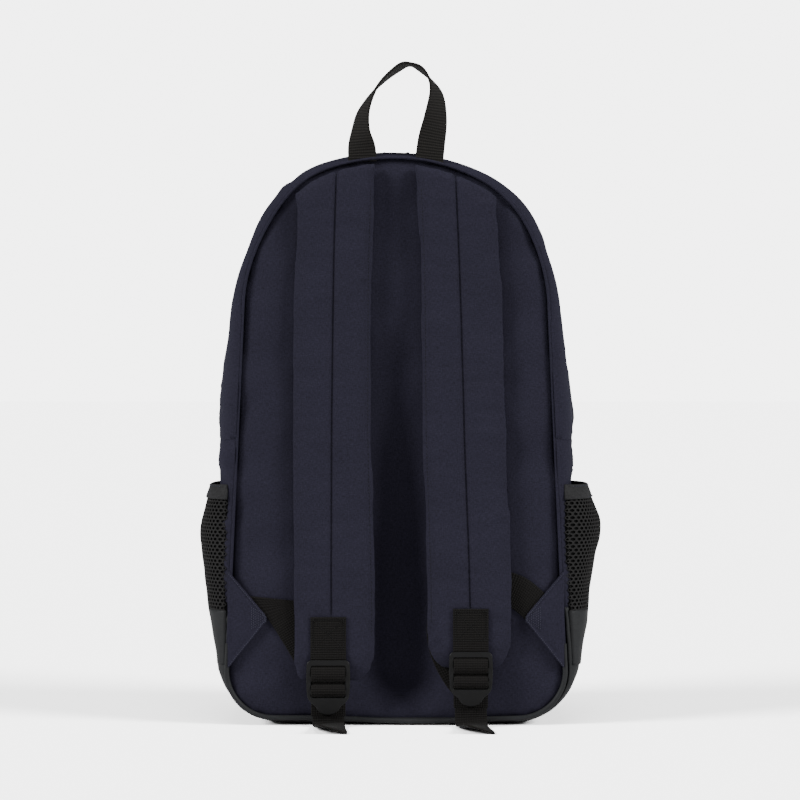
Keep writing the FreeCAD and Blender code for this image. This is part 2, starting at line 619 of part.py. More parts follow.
def make_lock_loop(side):
    """Webbing sewn flat on the strap's face, with a loop round the lock's top bar."""
    name = f"loop_{side}"
    middle = f"{side}_lock_x"
    bar = f"{side}_lock_z"
    face = strap_front
    axis_depth = f"{face} - lock_lift"
    width = (f"{middle} - patch_half", f"{middle} + patch_half")
    low = f"{bar} + patch_gap"
    patch = box(f"{name}_patch", width, (f"{face} - web_thick", face), (low, f"{low} + patch_tall"))
    outer_radius = "lock_bar + loop_gap + web_thick"
    start = (f"{middle} - loop_half", axis_depth, bar)
    ring = rod(f"{name}_ring", outer_radius, "x", start, "2 * loop_half")
    strip_height = (f"{bar} + lock_bar + loop_gap", f"{low} + web_thick")
    strip_width = (f"{middle} - loop_half", f"{middle} + loop_half")
    strip = box(f"{name}_strip", strip_width, (f"{axis_depth} - web_thick / 2", face), strip_height)
    blank = fuse(f"{name}_blank", [patch, ring, strip])
    hole_start = (f"{middle} - loop_half - 1", axis_depth, bar)
    hole = rod(f"{name}_hole", "lock_bar + loop_gap", "x", hole_start, "2 * loop_half + 2")
    rail_slot = box(f"{name}_rail_slot", wide, (f"{axis_depth} - 2 * lock_thick", face),
                    (f"{bar} - 3 * lock_bar", f"{bar} + lock_above + loop_gap"))
    keep_slot = box(f"{name}_keep", strip_width, (f"{axis_depth} - 3 * lock_thick", "0"),
                    (f"{bar} - 4 * lock_bar", f"{bar} + lock_above + 1"))
    room = cut(f"{name}_room", rail_slot, keep_slot)
    name_part(cut(f"{name}_web", cut(f"{name}_drilled", blank, hole), room), f"strap_webbing_{side}")


def make_lock_webbing(side):
    """The adjuster webbing inside the lock: over both rungs and down behind the tongue."""
    name = f"threaded_{side}"
    middle = f"{side}_lock_x"
    bar = f"{side}_lock_z"
    back = f"{strap_front} - lock_lift + lock_thick / 2"
    front = f"{strap_front} - lock_lift - lock_thick / 2"
    width = (f"{middle} - web_half", f"{middle} + web_half")
    over = f"{bar} - first_rung + web_thick"
    under = f"{bar} - second_rung - rung_tall - web_thick"
    depth = (f"{front} - web_thick", f"{back} + web_thick")
    front_ply = box(f"{name}_front", width, (depth[0], front), (under, over))
    back_ply = box(f"{name}_back", width, (back, depth[1]), (f"{bar} - lock_long", over))
    top_fold = box(f"{name}_top", width, depth, (f"{bar} - first_rung", over))
    low_fold = box(f"{name}_low", width, depth, (under, f"{bar} - second_rung - rung_tall"))
    name_part(fuse(f"{name}_web", [front_ply, back_ply, top_fold, low_fold]), f"lock_webbing_{side}")


def make_tail(side):
    """The free end below the lock: down to the ground, forwards on it, and folded over at its end."""
    name = f"tail_{side}"
    middle = f"{side}_lock_x"
    rear = f"{strap_front} - lock_lift + lock_thick / 2 + web_thick"
    width = (f"{middle} - tail_half", f"{middle} + tail_half")
    ground = "main_bottom"
    drop = box(f"{name}_drop", width, (f"{rear} - web_thick", rear),
               (ground, f"{side}_lock_z - lock_long - tail_gap"))
    lying = box(f"{name}_lying", width, (f"{rear} - tail_reach", rear), (ground, f"{ground} + web_thick"))
    fold = box(f"{name}_fold", width, (f"{rear} - tail_reach", f"{rear} - tail_reach + tail_fold"),
               (ground, f"{ground} + 2 * web_thick"))
    name_part(fuse(f"{name}_web", [drop, lying, fold]), f"webbing_tail_{side}")


def make_tabs():
    """Triangle tabs in the side seams and the webbing that runs from them to the locks."""
    keep = arch_plate("tab_keep_form", "panel", "piping_half + sewn_gap", "-2 * panel_depth", "0")
    tab_depth = ("-panel_depth - tab_lift - tab_thick", "-panel_depth - tab_lift")
    web_depth = ("-panel_depth - adjuster_lift - adjuster_thick", "-panel_depth - adjuster_lift")
    seam = side_x("panel", "tab_tip_high")
    for side, sign in (("left", -1), ("right", 1)):
        outside = f"{sign} * ({seam} + 4)"
        tip = f"{sign} * ({seam} - tab_tip_in)"
        corners = [(outside, "tab_high"), (tip, "tab_tip_high"), (outside, "tab_low")]
        tab = polygon_plate(f"tab_blank_{side}", corners, *tab_depth)
        name_part(common(f"tab_cloth_{side}", tab, keep), f"triangle_tab_{side}")
        lock = f"{side}_lock_x"
        lock_edge = f"({lock} + {sign} * lock_half)"
        corners = [
            (f"{tip} + {sign} * tab_tip_in / 2", "(tab_high + tab_tip_high) / 2"),
            (f"{lock}", f"{side}_lock_z + lock_half"),
            (f"{lock_edge}", f"{side}_lock_z - lock_half"),
            (f"{tip} + {sign} * tab_tip_in / 4", "tab_tip_high - 2 * tab_lift"),
        ]
        web = polygon_plate(f"adjuster_blank_{side}", corners, *web_depth)
        name_part(common(f"adjuster_web_{side}", web, keep), f"adjuster_webbing_{side}")


def make_handle():
    """Grab handle: two flat legs from the top seam and a crown turned a quarter round."""
    seam_depth = "-panel_depth"
    foot = "panel_centre + panel_radius + handle_rise"
    crown_low = f"{foot} + handle_crown"
    crown_centre = f"{foot} + handle_round"
    crown_depth = (f"{seam_depth} - handle_wide / 2", f"{seam_depth} + handle_wide / 2")
    bands = []
    for name, inset, grow in (("outer", "0", "0"), ("inner", "handle_thick", "1")):
        half = f"(handle_half - {inset})"
        depth = (f"{crown_depth[0]} - {grow}", f"{crown_depth[1]} + {grow}")
        straight = box(f"crown_{name}_straight", (f"handle_x - {half}", f"handle_x + {half}"), depth,
                       (f"{crown_low} - {grow}", crown_centre))
        start = ("handle_x", depth[0], crown_centre)
        rounded = rod(f"crown_{name}_round", half, "y", start, f"({depth[1]}) - ({depth[0]})")
        bands.append(fuse(f"crown_{name}", [straight, rounded]))
    above = box("crown_region", wide, (f"{crown_depth[0]} - 1", f"{crown_depth[1]} + 1"),
                (crown_low, f"{crown_centre} + 2 * handle_half"))
    crown = common("crown_arch", cut("crown_band", bands[0], bands[1]), above)
    leg_depth = (f"{seam_depth} - handle_thick / 2", f"{seam_depth} + handle_thick / 2")
    legs = []
    for name, sign in (("left", -1), ("right", 1)):
        centre = f"handle_x + {sign} * (handle_half - handle_thick / 2)"
        width = (f"{centre} - handle_wide / 2", f"{centre} + handle_wide / 2")
        legs.append(box(f"handle_leg_{name}", width, leg_depth, (foot, f"{crown_low} + handle_lap")))
    name_part(fuse("handle_web", [crown] + legs), "top_handle")


# ---- assembly --------------------------------------------------------------------------------

make_shell()
make_back_panel()
make_inside()
make_piping()
make_main_zip()
make_main_sliders()
make_pouch()
make_side_pockets()
make_straps()
for harness_side in ("left", "right"):
    make_lock(harness_side)
    make_lock_loop(harness_side)
    make_lock_webbing(harness_side)
    make_tail(harness_side)
make_tabs()
make_handle()
document.recompute()

for item in document.Objects:
    bad = [state for state in item.State if state in ("Invalid", "Error")]
    if bad:
        raise RuntimeError(f"{item.Name} ({item.Label}) failed: {bad}")
for item in subparts:
    if item.Shape.isNull() or not item.Shape.isValid():
        raise RuntimeError(f"{item.Label} has no valid shape")

os.makedirs("parts", exist_ok=True)
for item in subparts:
    item.Shape.exportStep(f"parts/{item.Label}.step")
    low_z = item.Shape.BoundBox.ZMin
    print(f"{item.Label:24} {len(item.Shape.Solids)} solids {item.Shape.Volume / 1000:9.2f} cm3 low {low_z:7.2f}")
print(len(subparts), "sub-parts")
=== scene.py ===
import math

import bmesh
import bpy
import numpy
from mathutils import Matrix, Vector, noise


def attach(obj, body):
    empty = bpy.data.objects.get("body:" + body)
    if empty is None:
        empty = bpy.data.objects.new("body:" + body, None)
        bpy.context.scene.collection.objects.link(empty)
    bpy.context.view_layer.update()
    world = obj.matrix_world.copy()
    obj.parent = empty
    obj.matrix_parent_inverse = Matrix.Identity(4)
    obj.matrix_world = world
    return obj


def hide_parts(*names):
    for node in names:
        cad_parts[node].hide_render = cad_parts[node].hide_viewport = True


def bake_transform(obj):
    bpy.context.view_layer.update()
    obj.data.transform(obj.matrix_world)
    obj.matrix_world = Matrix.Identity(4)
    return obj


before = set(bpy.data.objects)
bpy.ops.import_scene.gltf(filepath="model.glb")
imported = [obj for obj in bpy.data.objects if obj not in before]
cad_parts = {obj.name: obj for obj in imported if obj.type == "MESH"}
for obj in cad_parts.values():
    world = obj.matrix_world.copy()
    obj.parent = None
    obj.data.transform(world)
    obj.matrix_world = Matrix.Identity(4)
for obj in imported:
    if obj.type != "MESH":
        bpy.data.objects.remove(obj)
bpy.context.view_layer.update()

mm = 0.001
sides = {"left": -1, "right": 1}

# outlines of the bag in millimetres: half-round top, flared sides, round lower corners
outlines = {
    "main": {"radius": 140, "centre": 344, "flare": 3.0, "corner": 60, "bottom": 0},
    "panel": {"radius": 130, "centre": 351, "flare": 2.6, "corner": 40, "bottom": 6},
    "front": {"radius": 118, "centre": 322, "flare": 2.6, "corner": 50, "bottom": 8},
    "pouch": {"radius": 104, "centre": 118, "flare": 1.5, "corner": 35, "bottom": 22},
}
levels = {"wrapTop": 100, "flapHinge": 242, "hingeGap": 0.8, "zipHalf": 9, "seamDepth": -75,
          "frontDepth": 75}
# the cloth stands out at the shoulders, where the half-round top turns down into the sides
shoulders = {"left": {"out": 5.5, "turn": 55, "spread": 18},
             "right": {"out": 3.8, "turn": 45, "spread": 20}}


def smoothStep(value, low, high):
    share = min(1.0, max(0.0, (value - low) / (high - low)))
    return share * share * (3 - 2 * share)


def bell(value, centre, width):
    return math.exp(-((value - centre) / width) ** 2)


def wave(x, y, z, size, seed=0.0):
    return noise.noise(Vector((x / size + seed, y / size + seed * 0.7, z / size - seed)))


def linkObject(name, data):
    holder = bpy.data.objects.new(name, data)
    bpy.context.scene.collection.objects.link(holder)
    return holder


def addPiece(name, points, faces, smooth=True):
    mesh = bpy.data.meshes.new(name)
    mesh.from_pydata([Vector(point) * mm for point in points], [], faces)
    mesh.update()
    mesh.polygons.foreach_set("use_smooth", [smooth] * len(mesh.polygons))
    return linkObject(name, mesh)


def evaluatedMesh(piece):
    bpy.context.view_layer.update()
    graph = bpy.context.evaluated_depsgraph_get()
    return bpy.data.meshes.new_from_object(piece.evaluated_get(graph))


def settle(piece):
    made = evaluatedMesh(piece)
    piece.modifiers.clear()
    piece.data = made
    made.name = piece.name
    return piece


def curvePiece(name, loops, closed, **settings):
    # a curve of straight runs through each loop's points, turned into a mesh
    data = bpy.data.curves.new(name, "CURVE")
    for key, value in settings.items():
        setattr(data, key, value)
    for loop in loops:
        spline = data.splines.new("POLY")
        spline.points.add(len(loop) - 1)
        for point, place in zip(spline.points, loop):
            point.co = (*(Vector(place) * mm), 1)
        spline.use_cyclic_u = closed
    holder = linkObject(name, data)
    mesh = evaluatedMesh(holder)
    bpy.data.objects.remove(holder)
    return linkObject(name, mesh)


def addModifier(piece, kind, **settings):
    item = piece.modifiers.new(kind.title(), kind)
    for key, value in settings.items():
        setattr(item, key, value)
    return item


def outwards(piece):
    shape = bmesh.new()
    shape.from_mesh(piece.data)
    bmesh.ops.remove_doubles(shape, verts=shape.verts, dist=0.00001)
    bmesh.ops.recalc_face_normals(shape, faces=shape.faces)
    shape.to_mesh(piece.data)
    shape.free()
    return piece


def layCloth(piece):
    # cloth coordinates in metres: across and up on flat panels, along the outline and deep on the gusset
    mesh = piece.data
    corners = numpy.empty(len(mesh.loops), dtype=numpy.int32)
    mesh.loops.foreach_get("vertex_index", corners)
    places = numpy.empty(len(mesh.vertices) * 3)
    mesh.vertices.foreach_get("co", places)
    places = places.reshape(-1, 3)[corners]
    facing = numpy.empty(len(mesh.polygons) * 3)
    mesh.polygons.foreach_get("normal", facing)
    sizes = numpy.empty(len(mesh.polygons), dtype=numpy.int32)
    mesh.polygons.foreach_get("loop_total", sizes)
    facing = numpy.repeat(facing.reshape(-1, 3), sizes, axis=0)
    x, y, z = places[:, 0], places[:, 1], places[:, 2]
    centre = outlines["main"]["centre"] * mm
    turn = numpy.arctan2(z - centre, numpy.abs(x))
    along = numpy.where(z > centre, centre + outlines["main"]["radius"] * mm * turn, z)
    flat = numpy.abs(facing[:, 1]) > 0.7
    under = facing[:, 2] < -0.7
    across = numpy.where(flat | under, x, y)
    upwards = numpy.where(flat, z, numpy.where(under, y, along))
    layer = mesh.uv_layers.new(name="cloth")
    layer.data.foreach_set("uv", numpy.stack((across, upwards), axis=1).ravel())


def finish(piece, material, body, nodes=()):
    if "cloth" not in piece.data.uv_layers:
        layCloth(piece)
    piece.data.materials.clear()
    piece.data.materials.append(material)
    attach(piece, body)
    if nodes:
        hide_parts(*nodes)
    return piece


def shoulderOut(angle, side):
    look = shoulders[side]
    return look["out"] * bell(math.degrees(angle), look["turn"], look["spread"])


def archOutline(family, inset=0.0, bottomSteps=26, cornerSteps=18, sideSteps=72, topSteps=56):
    shape = outlines[family]
    radius = shape["radius"] - inset
    corner = shape["corner"] - inset
    bottom = shape["bottom"] + inset
    centre = shape["centre"]
    flare = math.radians(shape["flare"])
    reach = (radius - corner + (centre - bottom - corner) * math.sin(flare)) / math.cos(flare)
    low = [(reach * step / bottomSteps, bottom) for step in range(bottomSteps)]
    for step in range(cornerSteps):
        angle = -math.pi / 2 + (math.pi / 2 + flare) * step / cornerSteps
        low.append((reach + corner * math.cos(angle), bottom + corner + corner * math.sin(angle)))
    sideLow = Vector((reach + corner * math.cos(flare), bottom + corner + corner * math.sin(flare)))
    sideHigh = Vector((radius * math.cos(flare), centre + radius * math.sin(flare)))
    low += [tuple(sideLow.lerp(sideHigh, step / sideSteps)) for step in range(sideSteps)]
    tops = {"left": [], "right": []}
    for side, top in tops.items():
        for step in range(topSteps + 1):
            angle = flare + (math.pi / 2 - flare) * step / topSteps
            out = radius + shoulderOut(angle, side) * smoothStep(radius, 90, 130)
            top.append((out * math.cos(angle), centre + out * math.sin(angle)))
    left = [(-x, z) for x, z in reversed(low[1:] + tops["left"][:-1])]
    return low + tops["right"] + left


def closeFan(rings, count):
    # faces of nested rings of points that end in one middle point
    last = (rings - 1) * count
    fan = [(last + index, last + (index + 1) % count, rings * count) for index in range(count)]
    return gridFaces(rings, count, True) + fan


def ringFan(name, outline, middle, rings, power, depthAt):
    points = []
    for ring in range(rings):
        share = 1 - (ring / rings) ** power
        for x, z in outline:
            here = (x * share, middle + (z - middle) * share)
            points.append((here[0], depthAt(share, *here), here[1]))
    points.append((0, depthAt(0, 0, middle), middle))
    return outwards(addPiece(name, points, closeFan(rings, len(outline))))


def gridFaces(rows, columns, closed):
    faces = []
    last = columns if closed else columns - 1
    for row in range(rows - 1):
        for column in range(last):
            after = (column + 1) % columns
            here = row * columns
            faces.append((here + column, here + after, here + columns + after, here + columns + column))
    return faces


def moveAlongNormals(piece, push):
    mesh = piece.data
    mesh.update()
    normals = [vertex.normal.copy() for vertex in mesh.vertices]
    for vertex, normal in zip(mesh.vertices, normals):
        x, y, z = vertex.co / mm
        vertex.co += normal * push(x, y, z, normal) * mm
    mesh.update()
    return piece


def keepPart(piece, name, planes):
    part = linkObject(name, piece.data.copy())
    shape = bmesh.new()
    shape.from_mesh(part.data)
    for point, normal in planes:
        geometry = shape.verts[:] + shape.edges[:] + shape.faces[:]
        bmesh.ops.bisect_plane(shape, geom=geometry, dist=0.000001, plane_co=Vector(point) * mm,
                               plane_no=Vector(normal), clear_inner=True)
    shape.to_mesh(part.data)
    shape.free()
    return part


def thicken(piece, thickness):
    addModifier(piece, "SOLIDIFY", thickness=thickness * mm, offset=-1.0, use_even_offset=False)
    return settle(piece)


def hexColour(text):
    parts = [int(text[start:start + 2], 16) / 255 for start in (0, 2, 4)]
    linear = [part / 12.92 if part <= 0.04045 else ((part + 0.055) / 1.055) ** 2.4 for part in parts]
    return (*linear, 1.0)


def addNode(tree, kind, settings=None, values=None, links=None):
    node = tree.nodes.new(kind)
    for key, value in (settings or {}).items():
        setattr(node, key, value)
    for key, value in (values or {}).items():
        node.inputs[key].default_value = value
    for key, source in (links or {}).items():
        tree.links.new(source, node.inputs[key])
    return node


def newMaterial(name):
    material = bpy.data.materials.new(name)
    material.use_nodes = True
    tree = material.node_tree
    shader = next(node for node in tree.nodes if node.type == "BSDF_PRINCIPLED")
    return material, tree, shader


shaderSockets = {"rough": "Roughness", "gloss": "Specular IOR Level", "metal": "Metallic",
                 "sheen": "Sheen Weight", "sheenRough": "Sheen Roughness", "sheenColour": "Sheen Tint"}


def setShader(shader, **values):
    for key, value in values.items():
        shader.inputs[shaderSockets[key]].default_value = value


def noiseOn(tree, where, scale, detail=2.0, roughness=0.5):
    values = {"Scale": scale, "Detail": detail, "Roughness": roughness}
    return addNode(tree, "ShaderNodeTexNoise", values=values, links={"Vector": where}).outputs["Fac"]


def combine(tree, factor, first, second):
    # first times a factor, plus second
    return addNode(tree, "ShaderNodeMath", {"operation": "MULTIPLY_ADD"}, {1: factor},
                   {0: first, 2: second}).outputs[0]


def colourAndBump(tree, shader, look, level, height, strength, distance):
    ramp = addNode(tree, "ShaderNodeValToRGB", links={"Fac": level})
    ramp.color_ramp.elements[0].color = hexColour(look["dark"])
    ramp.color_ramp.elements[1].color = hexColour(look["light"])
    tree.links.new(ramp.outputs["Color"], shader.inputs["Base Color"])
    bump = addNode(tree, "ShaderNodeBump", values={"Strength": strength, "Distance": distance},
                   links={"Height": height})
    tree.links.new(bump.outputs["Normal"], shader.inputs["Normal"])


def rangeOf(tree, value, **ends):
    values = {key.replace("To", "To ").replace("From", "From "): end for key, end in ends.items()}
    return addNode(tree, "ShaderNodeMapRange", values=values, links={"Value": value}).outputs["Result"]


def wovenCloth(name, look):
    # two sets of threads, drawn as noise stretched along and across the cloth, under a soft cloud of wear
    material, tree, shader = newMaterial(name)
    cloth = addNode(tree, "ShaderNodeUVMap", {"uv_map": "cloth"}).outputs["UV"]
    where = addNode(tree, "ShaderNodeTexCoord").outputs["Object"]
    fine = 1 / (look["thread"] * mm)
    threads = []
    for stretch in ((fine, fine * 0.3, 1.0), (fine * 0.3, fine, 1.0)):
        drawn = addNode(tree, "ShaderNodeMapping", values={"Scale": stretch}, links={"Vector": cloth})
        threads.append(noiseOn(tree, drawn.outputs["Vector"], 1.0, roughness=0.6))
    crossed = addNode(tree, "ShaderNodeMath", {"operation": "ADD"},
                      links={0: threads[0], 1: threads[1]}).outputs[0]
    shade = combine(tree, look["cloud"], noiseOn(tree, where, 26.0, detail=5.0, roughness=0.6), crossed)
    level = rangeOf(tree, shade, FromMin=0.55 + 0.3 * look["cloud"], FromMax=1.45 + 0.7 * look["cloud"])
    colourAndBump(tree, shader, look, level, crossed, look["relief"], 0.0003)
    setShader(shader, rough=look["rough"], gloss=look["gloss"], sheen=look["sheen"], sheenRough=0.5,
              sheenColour=hexColour(look["sheenColour"]))
    return material


def ribbedWebbing(name, look):
    # fine ribs across the webbing and cords along it; both are drawn coarser than real so that they show
    material, tree, shader = newMaterial(name)
    where = addNode(tree, "ShaderNodeUVMap", {"uv_map": "cloth"}).outputs["UV"]
    along = 2 * math.pi / (look["rib"] * mm) / 20
    bands = []
    for direction, scale, distortion, detail in (("Y", along, 0.6, 1.0),
                                                 ("X", along * look["cords"], 0.3, 2.0)):
        bands.append(addNode(tree, "ShaderNodeTexWave",
                             {"bands_direction": direction, "wave_profile": "SIN"},
                             {"Scale": scale, "Distortion": distortion, "Detail": detail},
                             {"Vector": where}).outputs["Fac"])
    weave = combine(tree, look["cordShare"], bands[1], bands[0])
    height = combine(tree, 0.35, noiseOn(tree, where, 900.0), weave)
    level = rangeOf(tree, height, FromMin=0.1, FromMax=1.3 + look["cordShare"])
    colourAndBump(tree, shader, look, level, height, 0.7, 0.0004)
    setShader(shader, rough=0.75, gloss=0.12, sheen=0.03)
    return material


def mouldedPlastic(name, look):
    material, tree, shader = newMaterial(name)
    where = addNode(tree, "ShaderNodeTexCoord").outputs["Object"]
    grain = noiseOn(tree, where, look["grain"], detail=3.0)
    rough = rangeOf(tree, grain, ToMin=look["rough"] - 0.06, ToMax=look["rough"] + 0.08)
    tree.links.new(rough, shader.inputs["Roughness"])
    colourAndBump(tree, shader, look, grain, grain, 0.15, 0.0001)
    setShader(shader, metal=look.get("metal", 0.0), gloss=look.get("gloss", 0.25))
    return material


# navy polyester twill, dull and even, with a faint blue bloom where the light grazes it
twillLook = {"dark": "1A1921", "light": "2D2B3A", "thread": 0.9, "cloud": 0.3, "relief": 0.45,
             "rough": 0.85, "gloss": 0.10, "sheen": 0.04, "sheenColour": "8088B0"}
navyTwill = wovenCloth("navyPolyesterTwill", twillLook)
strapTwill = wovenCloth("navyStrapTwill", twillLook)
# coated polyester of the wrap, smoother than the twill, with a slight shine and cloudy wear
coatedCloth = wovenCloth("coatedCharcoalCloth", {
    "dark": "1A1B1C", "light": "2B2C2E", "thread": 0.9, "cloud": 0.8, "relief": 0.15,
    "rough": 0.6, "gloss": 0.2, "sheen": 0.02, "sheenColour": "A0A0A8"})
# grosgrain binding, coarse and matt, a little paler than the mesh
bindingTape = wovenCloth("charcoalBindingTape", {
    "dark": "1C1C1D", "light": "333334", "thread": 1.4, "cloud": 0.3, "relief": 0.6,
    "rough": 0.8, "gloss": 0.12, "sheen": 0.04, "sheenColour": "A0A0A8"})
# warp-knitted polyester mesh, fuzzy grey yarn round dark holes
knitMesh = wovenCloth("charcoalKnitMesh", {
    "dark": "161616", "light": "2E2D2D", "thread": 1.0, "cloud": 0.3, "relief": 0.6,
    "rough": 0.8, "gloss": 0.12, "sheen": 0.04, "sheenColour": "909090"})
# a nearly black sheet just behind the mesh: painted shade, standing in for the shadowed inside of the pocket
# seen through the holes
paintedShadeSheet = wovenCloth("paintedShadeBehindKnit", {
    "dark": "0B0B0B", "light": "171717", "thread": 0.8, "cloud": 0.2, "relief": 0.4,
    "rough": 0.9, "gloss": 0.05, "sheen": 0.02, "sheenColour": "909090"})
# thin taffeta lining, smooth and slightly shiny
liningCloth = wovenCloth("greyLiningCloth", {
    "dark": "1E1E23", "light": "34343B", "thread": 0.9, "cloud": 0.5, "relief": 0.2,
    "rough": 0.7, "gloss": 0.15, "sheen": 0.02, "sheenColour": "A0A0A8"})
# woven zip tape, darker and tighter than the twill
zipTape = wovenCloth("navyZipTape", {
    "dark": "101018", "light": "232330", "thread": 1.2, "cloud": 0.3, "relief": 0.6,
    "rough": 0.8, "gloss": 0.12, "sheen": 0.03, "sheenColour": "8088B0"})
# polypropylene webbing, warm black with lit ribs; the straps' webbing is finer and darker than the handle's
handleWeb = ribbedWebbing("blackHandleWebbing", {
    "dark": "0C0B0A", "light": "272523", "rib": 2.4, "cords": 1.4, "cordShare": 0.35})
strapWeb = ribbedWebbing("blackStrapWebbing", {
    "dark": "080706", "light": "181615", "rib": 2.0, "cords": 1.0, "cordShare": 0.6})
# moulded acetal of the locks, satin black with soft bright edges
acetal = mouldedPlastic("blackAcetal", {"dark": "0C0C0C", "light": "141415", "grain": 260.0, "rough": 0.42})
# nylon monofilament of the zips, a small glint on each tooth
nylonCoil = mouldedPlastic("navyNylonCoil", {"dark": "15151C", "light": "22222C", "grain": 400.0,
                                             "rough": 0.38})
# black-plated zinc sliders and pulls, the only metal that shines
blackZinc = mouldedPlastic("blackZincAlloy", {
    "dark": "202022", "light": "2E2E31", "grain": 300.0, "rough": 0.35, "metal": 0.85})
# sewing threads: near black in the seams, where the navy thread is darkened as painted shade of the stitch
# grooves, paler where they tack the tabs, black on the webbing
seamThreadAndShade = mouldedPlastic("navyThreadWithPaintedShade", {
    "dark": "08080E", "light": "101018", "grain": 500.0, "rough": 0.6})
tackThread = mouldedPlastic("paleNavyThread", {"dark": "2A2B38", "light": "3D3E4D", "grain": 500.0,
                                               "rough": 0.6})
webThread = mouldedPlastic("blackNylonThread", {"dark": "080808", "light": "0E0E0E", "grain": 500.0,
                                                "rough": 0.6})
# polyethylene board in the bottom, flat grey
baseBoard = mouldedPlastic("greyBaseBoard", {"dark": "202022", "light": "2A2A2C", "grain": 150.0,
                                             "rough": 0.6})
print("materials made")


# sizes in millimetres: a long lens from far off, nearly level with the bag
view = {"distance": 2500, "elevation": 0.3, "aim": (3.4, -75, 275.4), "frameWidth": 677, "sensor": 36}


def makeView():
    camera = bpy.data.cameras.new("camera")
    camera.sensor_width = view["sensor"]
    camera.lens = view["sensor"] * view["distance"] / view["frameWidth"]
    camera.clip_end = 50
    holder = linkObject("camera", camera)
    tilt = math.radians(view["elevation"])
    aim = Vector(view["aim"]) * mm
    holder.location = aim + Vector((0, -math.cos(tilt), math.sin(tilt))) * view["distance"] * mm
    holder.rotation_euler = (aim - holder.location).to_track_quat("-Z", "Y").to_euler()
    bpy.context.scene.camera = holder


# seen and paperSeen are how bright the background and the floor look to the camera alone
studio = {"paper": "EFEFEF", "sky": 0.13, "seen": 5.15, "paperSeen": 3.83, "reach": 30000, "behind": 60000,
          "lights": {"leftLight": {"from": (-1.7, -0.85, 1.1), "power": 3.0, "spread": 22},
                     "rightLight": {"from": (1.7, -0.85, 1.1), "power": 2.85, "spread": 22},
                     "topLight": {"from": (0.0, -0.35, 1.0), "power": 0.6, "spread": 35},
                     "frontLight": {"from": (0.2, -1.0, 0.3), "power": 0.04, "spread": 50}}}


def makeLight(name, look):
    light = bpy.data.lights.new(name, "SUN")
    light.energy = look["power"]
    light.angle = math.radians(look["spread"])
    holder = linkObject(name, light)
    holder.rotation_euler = (-Vector(look["from"])).to_track_quat("-Z", "Y").to_euler()


def makeStudio():
    reach, behind = studio["reach"], studio["behind"]
    corners = [(-reach, -reach, 0), (reach, -reach, 0), (reach, behind, 0), (-reach, behind, 0)]
    floor = addPiece("studioFloor", corners, [(0, 1, 2, 3)], smooth=False)
    material, tree, shader = newMaterial("palePaper")
    shader.inputs["Base Color"].default_value = hexColour(studio["paper"])
    setShader(shader, rough=0.95, gloss=0.0)
    # the paper is overexposed where it is seen directly, and plain paper for the light it throws back
    bright = addNode(tree, "ShaderNodeBsdfDiffuse", values={"Color": (*[studio["paperSeen"]] * 3, 1)})
    seen = addNode(tree, "ShaderNodeLightPath").outputs["Is Camera Ray"]
    both = addNode(tree, "ShaderNodeMixShader", links={0: seen, 1: shader.outputs[0], 2: bright.outputs[0]})
    output = next(node for node in tree.nodes if node.type == "OUTPUT_MATERIAL")
    tree.links.new(both.outputs[0], output.inputs["Surface"])
    floor.data.materials.append(material)
    world = bpy.data.worlds.new("studio")
    world.use_nodes = True
    tree = world.node_tree
    sky = tree.nodes["Background"]
    sky.inputs["Color"].default_value = (1, 1, 1, 1)
    seen = addNode(tree, "ShaderNodeLightPath").outputs["Is Camera Ray"]
    strength = rangeOf(tree, seen, ToMin=studio["sky"], ToMax=studio["seen"])
    tree.links.new(strength, sky.inputs["Strength"])
    bpy.context.scene.world = world
    for name, look in studio["lights"].items():
        makeLight(name, look)


makeView()
makeStudio()
print("view and studio made")


bagCloth = {"rearRound": 24, "frontRound": 52, "rows": 12, "thickness": 1.6, "fullness": 7.5,
            "wrinkle": 1.1, "pucker": 0.7, "leanRight": 2.5, "crown": 3.4, "flatRows": 18}
# dents and bumps at the shoulders: place and width across, up and in depth, then how far they push
dents = ((-98, 7, 459, 7, -52, 16, 2.6), (-88, 5, 463, 6, -60, 20, -1.6), (128, 6, 417, 9, -55, 18, 1.8))


def crossProfile():
    # rows from the perimeter seam round to the front: depth, starting outline, share of the main outline
    rows = []
    steps = bagCloth["rows"]
    rear = levels["seamDepth"]
    front = levels["frontDepth"]
    for step in range(steps):
        turn = math.pi / 2 * step / steps
        rows.append((rear + bagCloth["rearRound"] * (1 - math.cos(turn)), "panel", math.sin(turn)))
    flatStart = rear + bagCloth["rearRound"]
    flatEnd = front - bagCloth["frontRound"]
    flats = bagCloth["flatRows"]
    for step in range(flats):
        rows.append((flatStart + (flatEnd - flatStart) * step / flats, "panel", 1.0))
    for step in range(steps + 5):
        turn = math.pi / 2 * step / (steps + 4)
        rows.append((flatEnd + bagCloth["frontRound"] * math.sin(turn), "front", math.cos(turn)))
    return rows


def seamPull(distance, depth, width):
    # cloth drawn in beside a seam
    return -depth * math.exp(-distance / width)


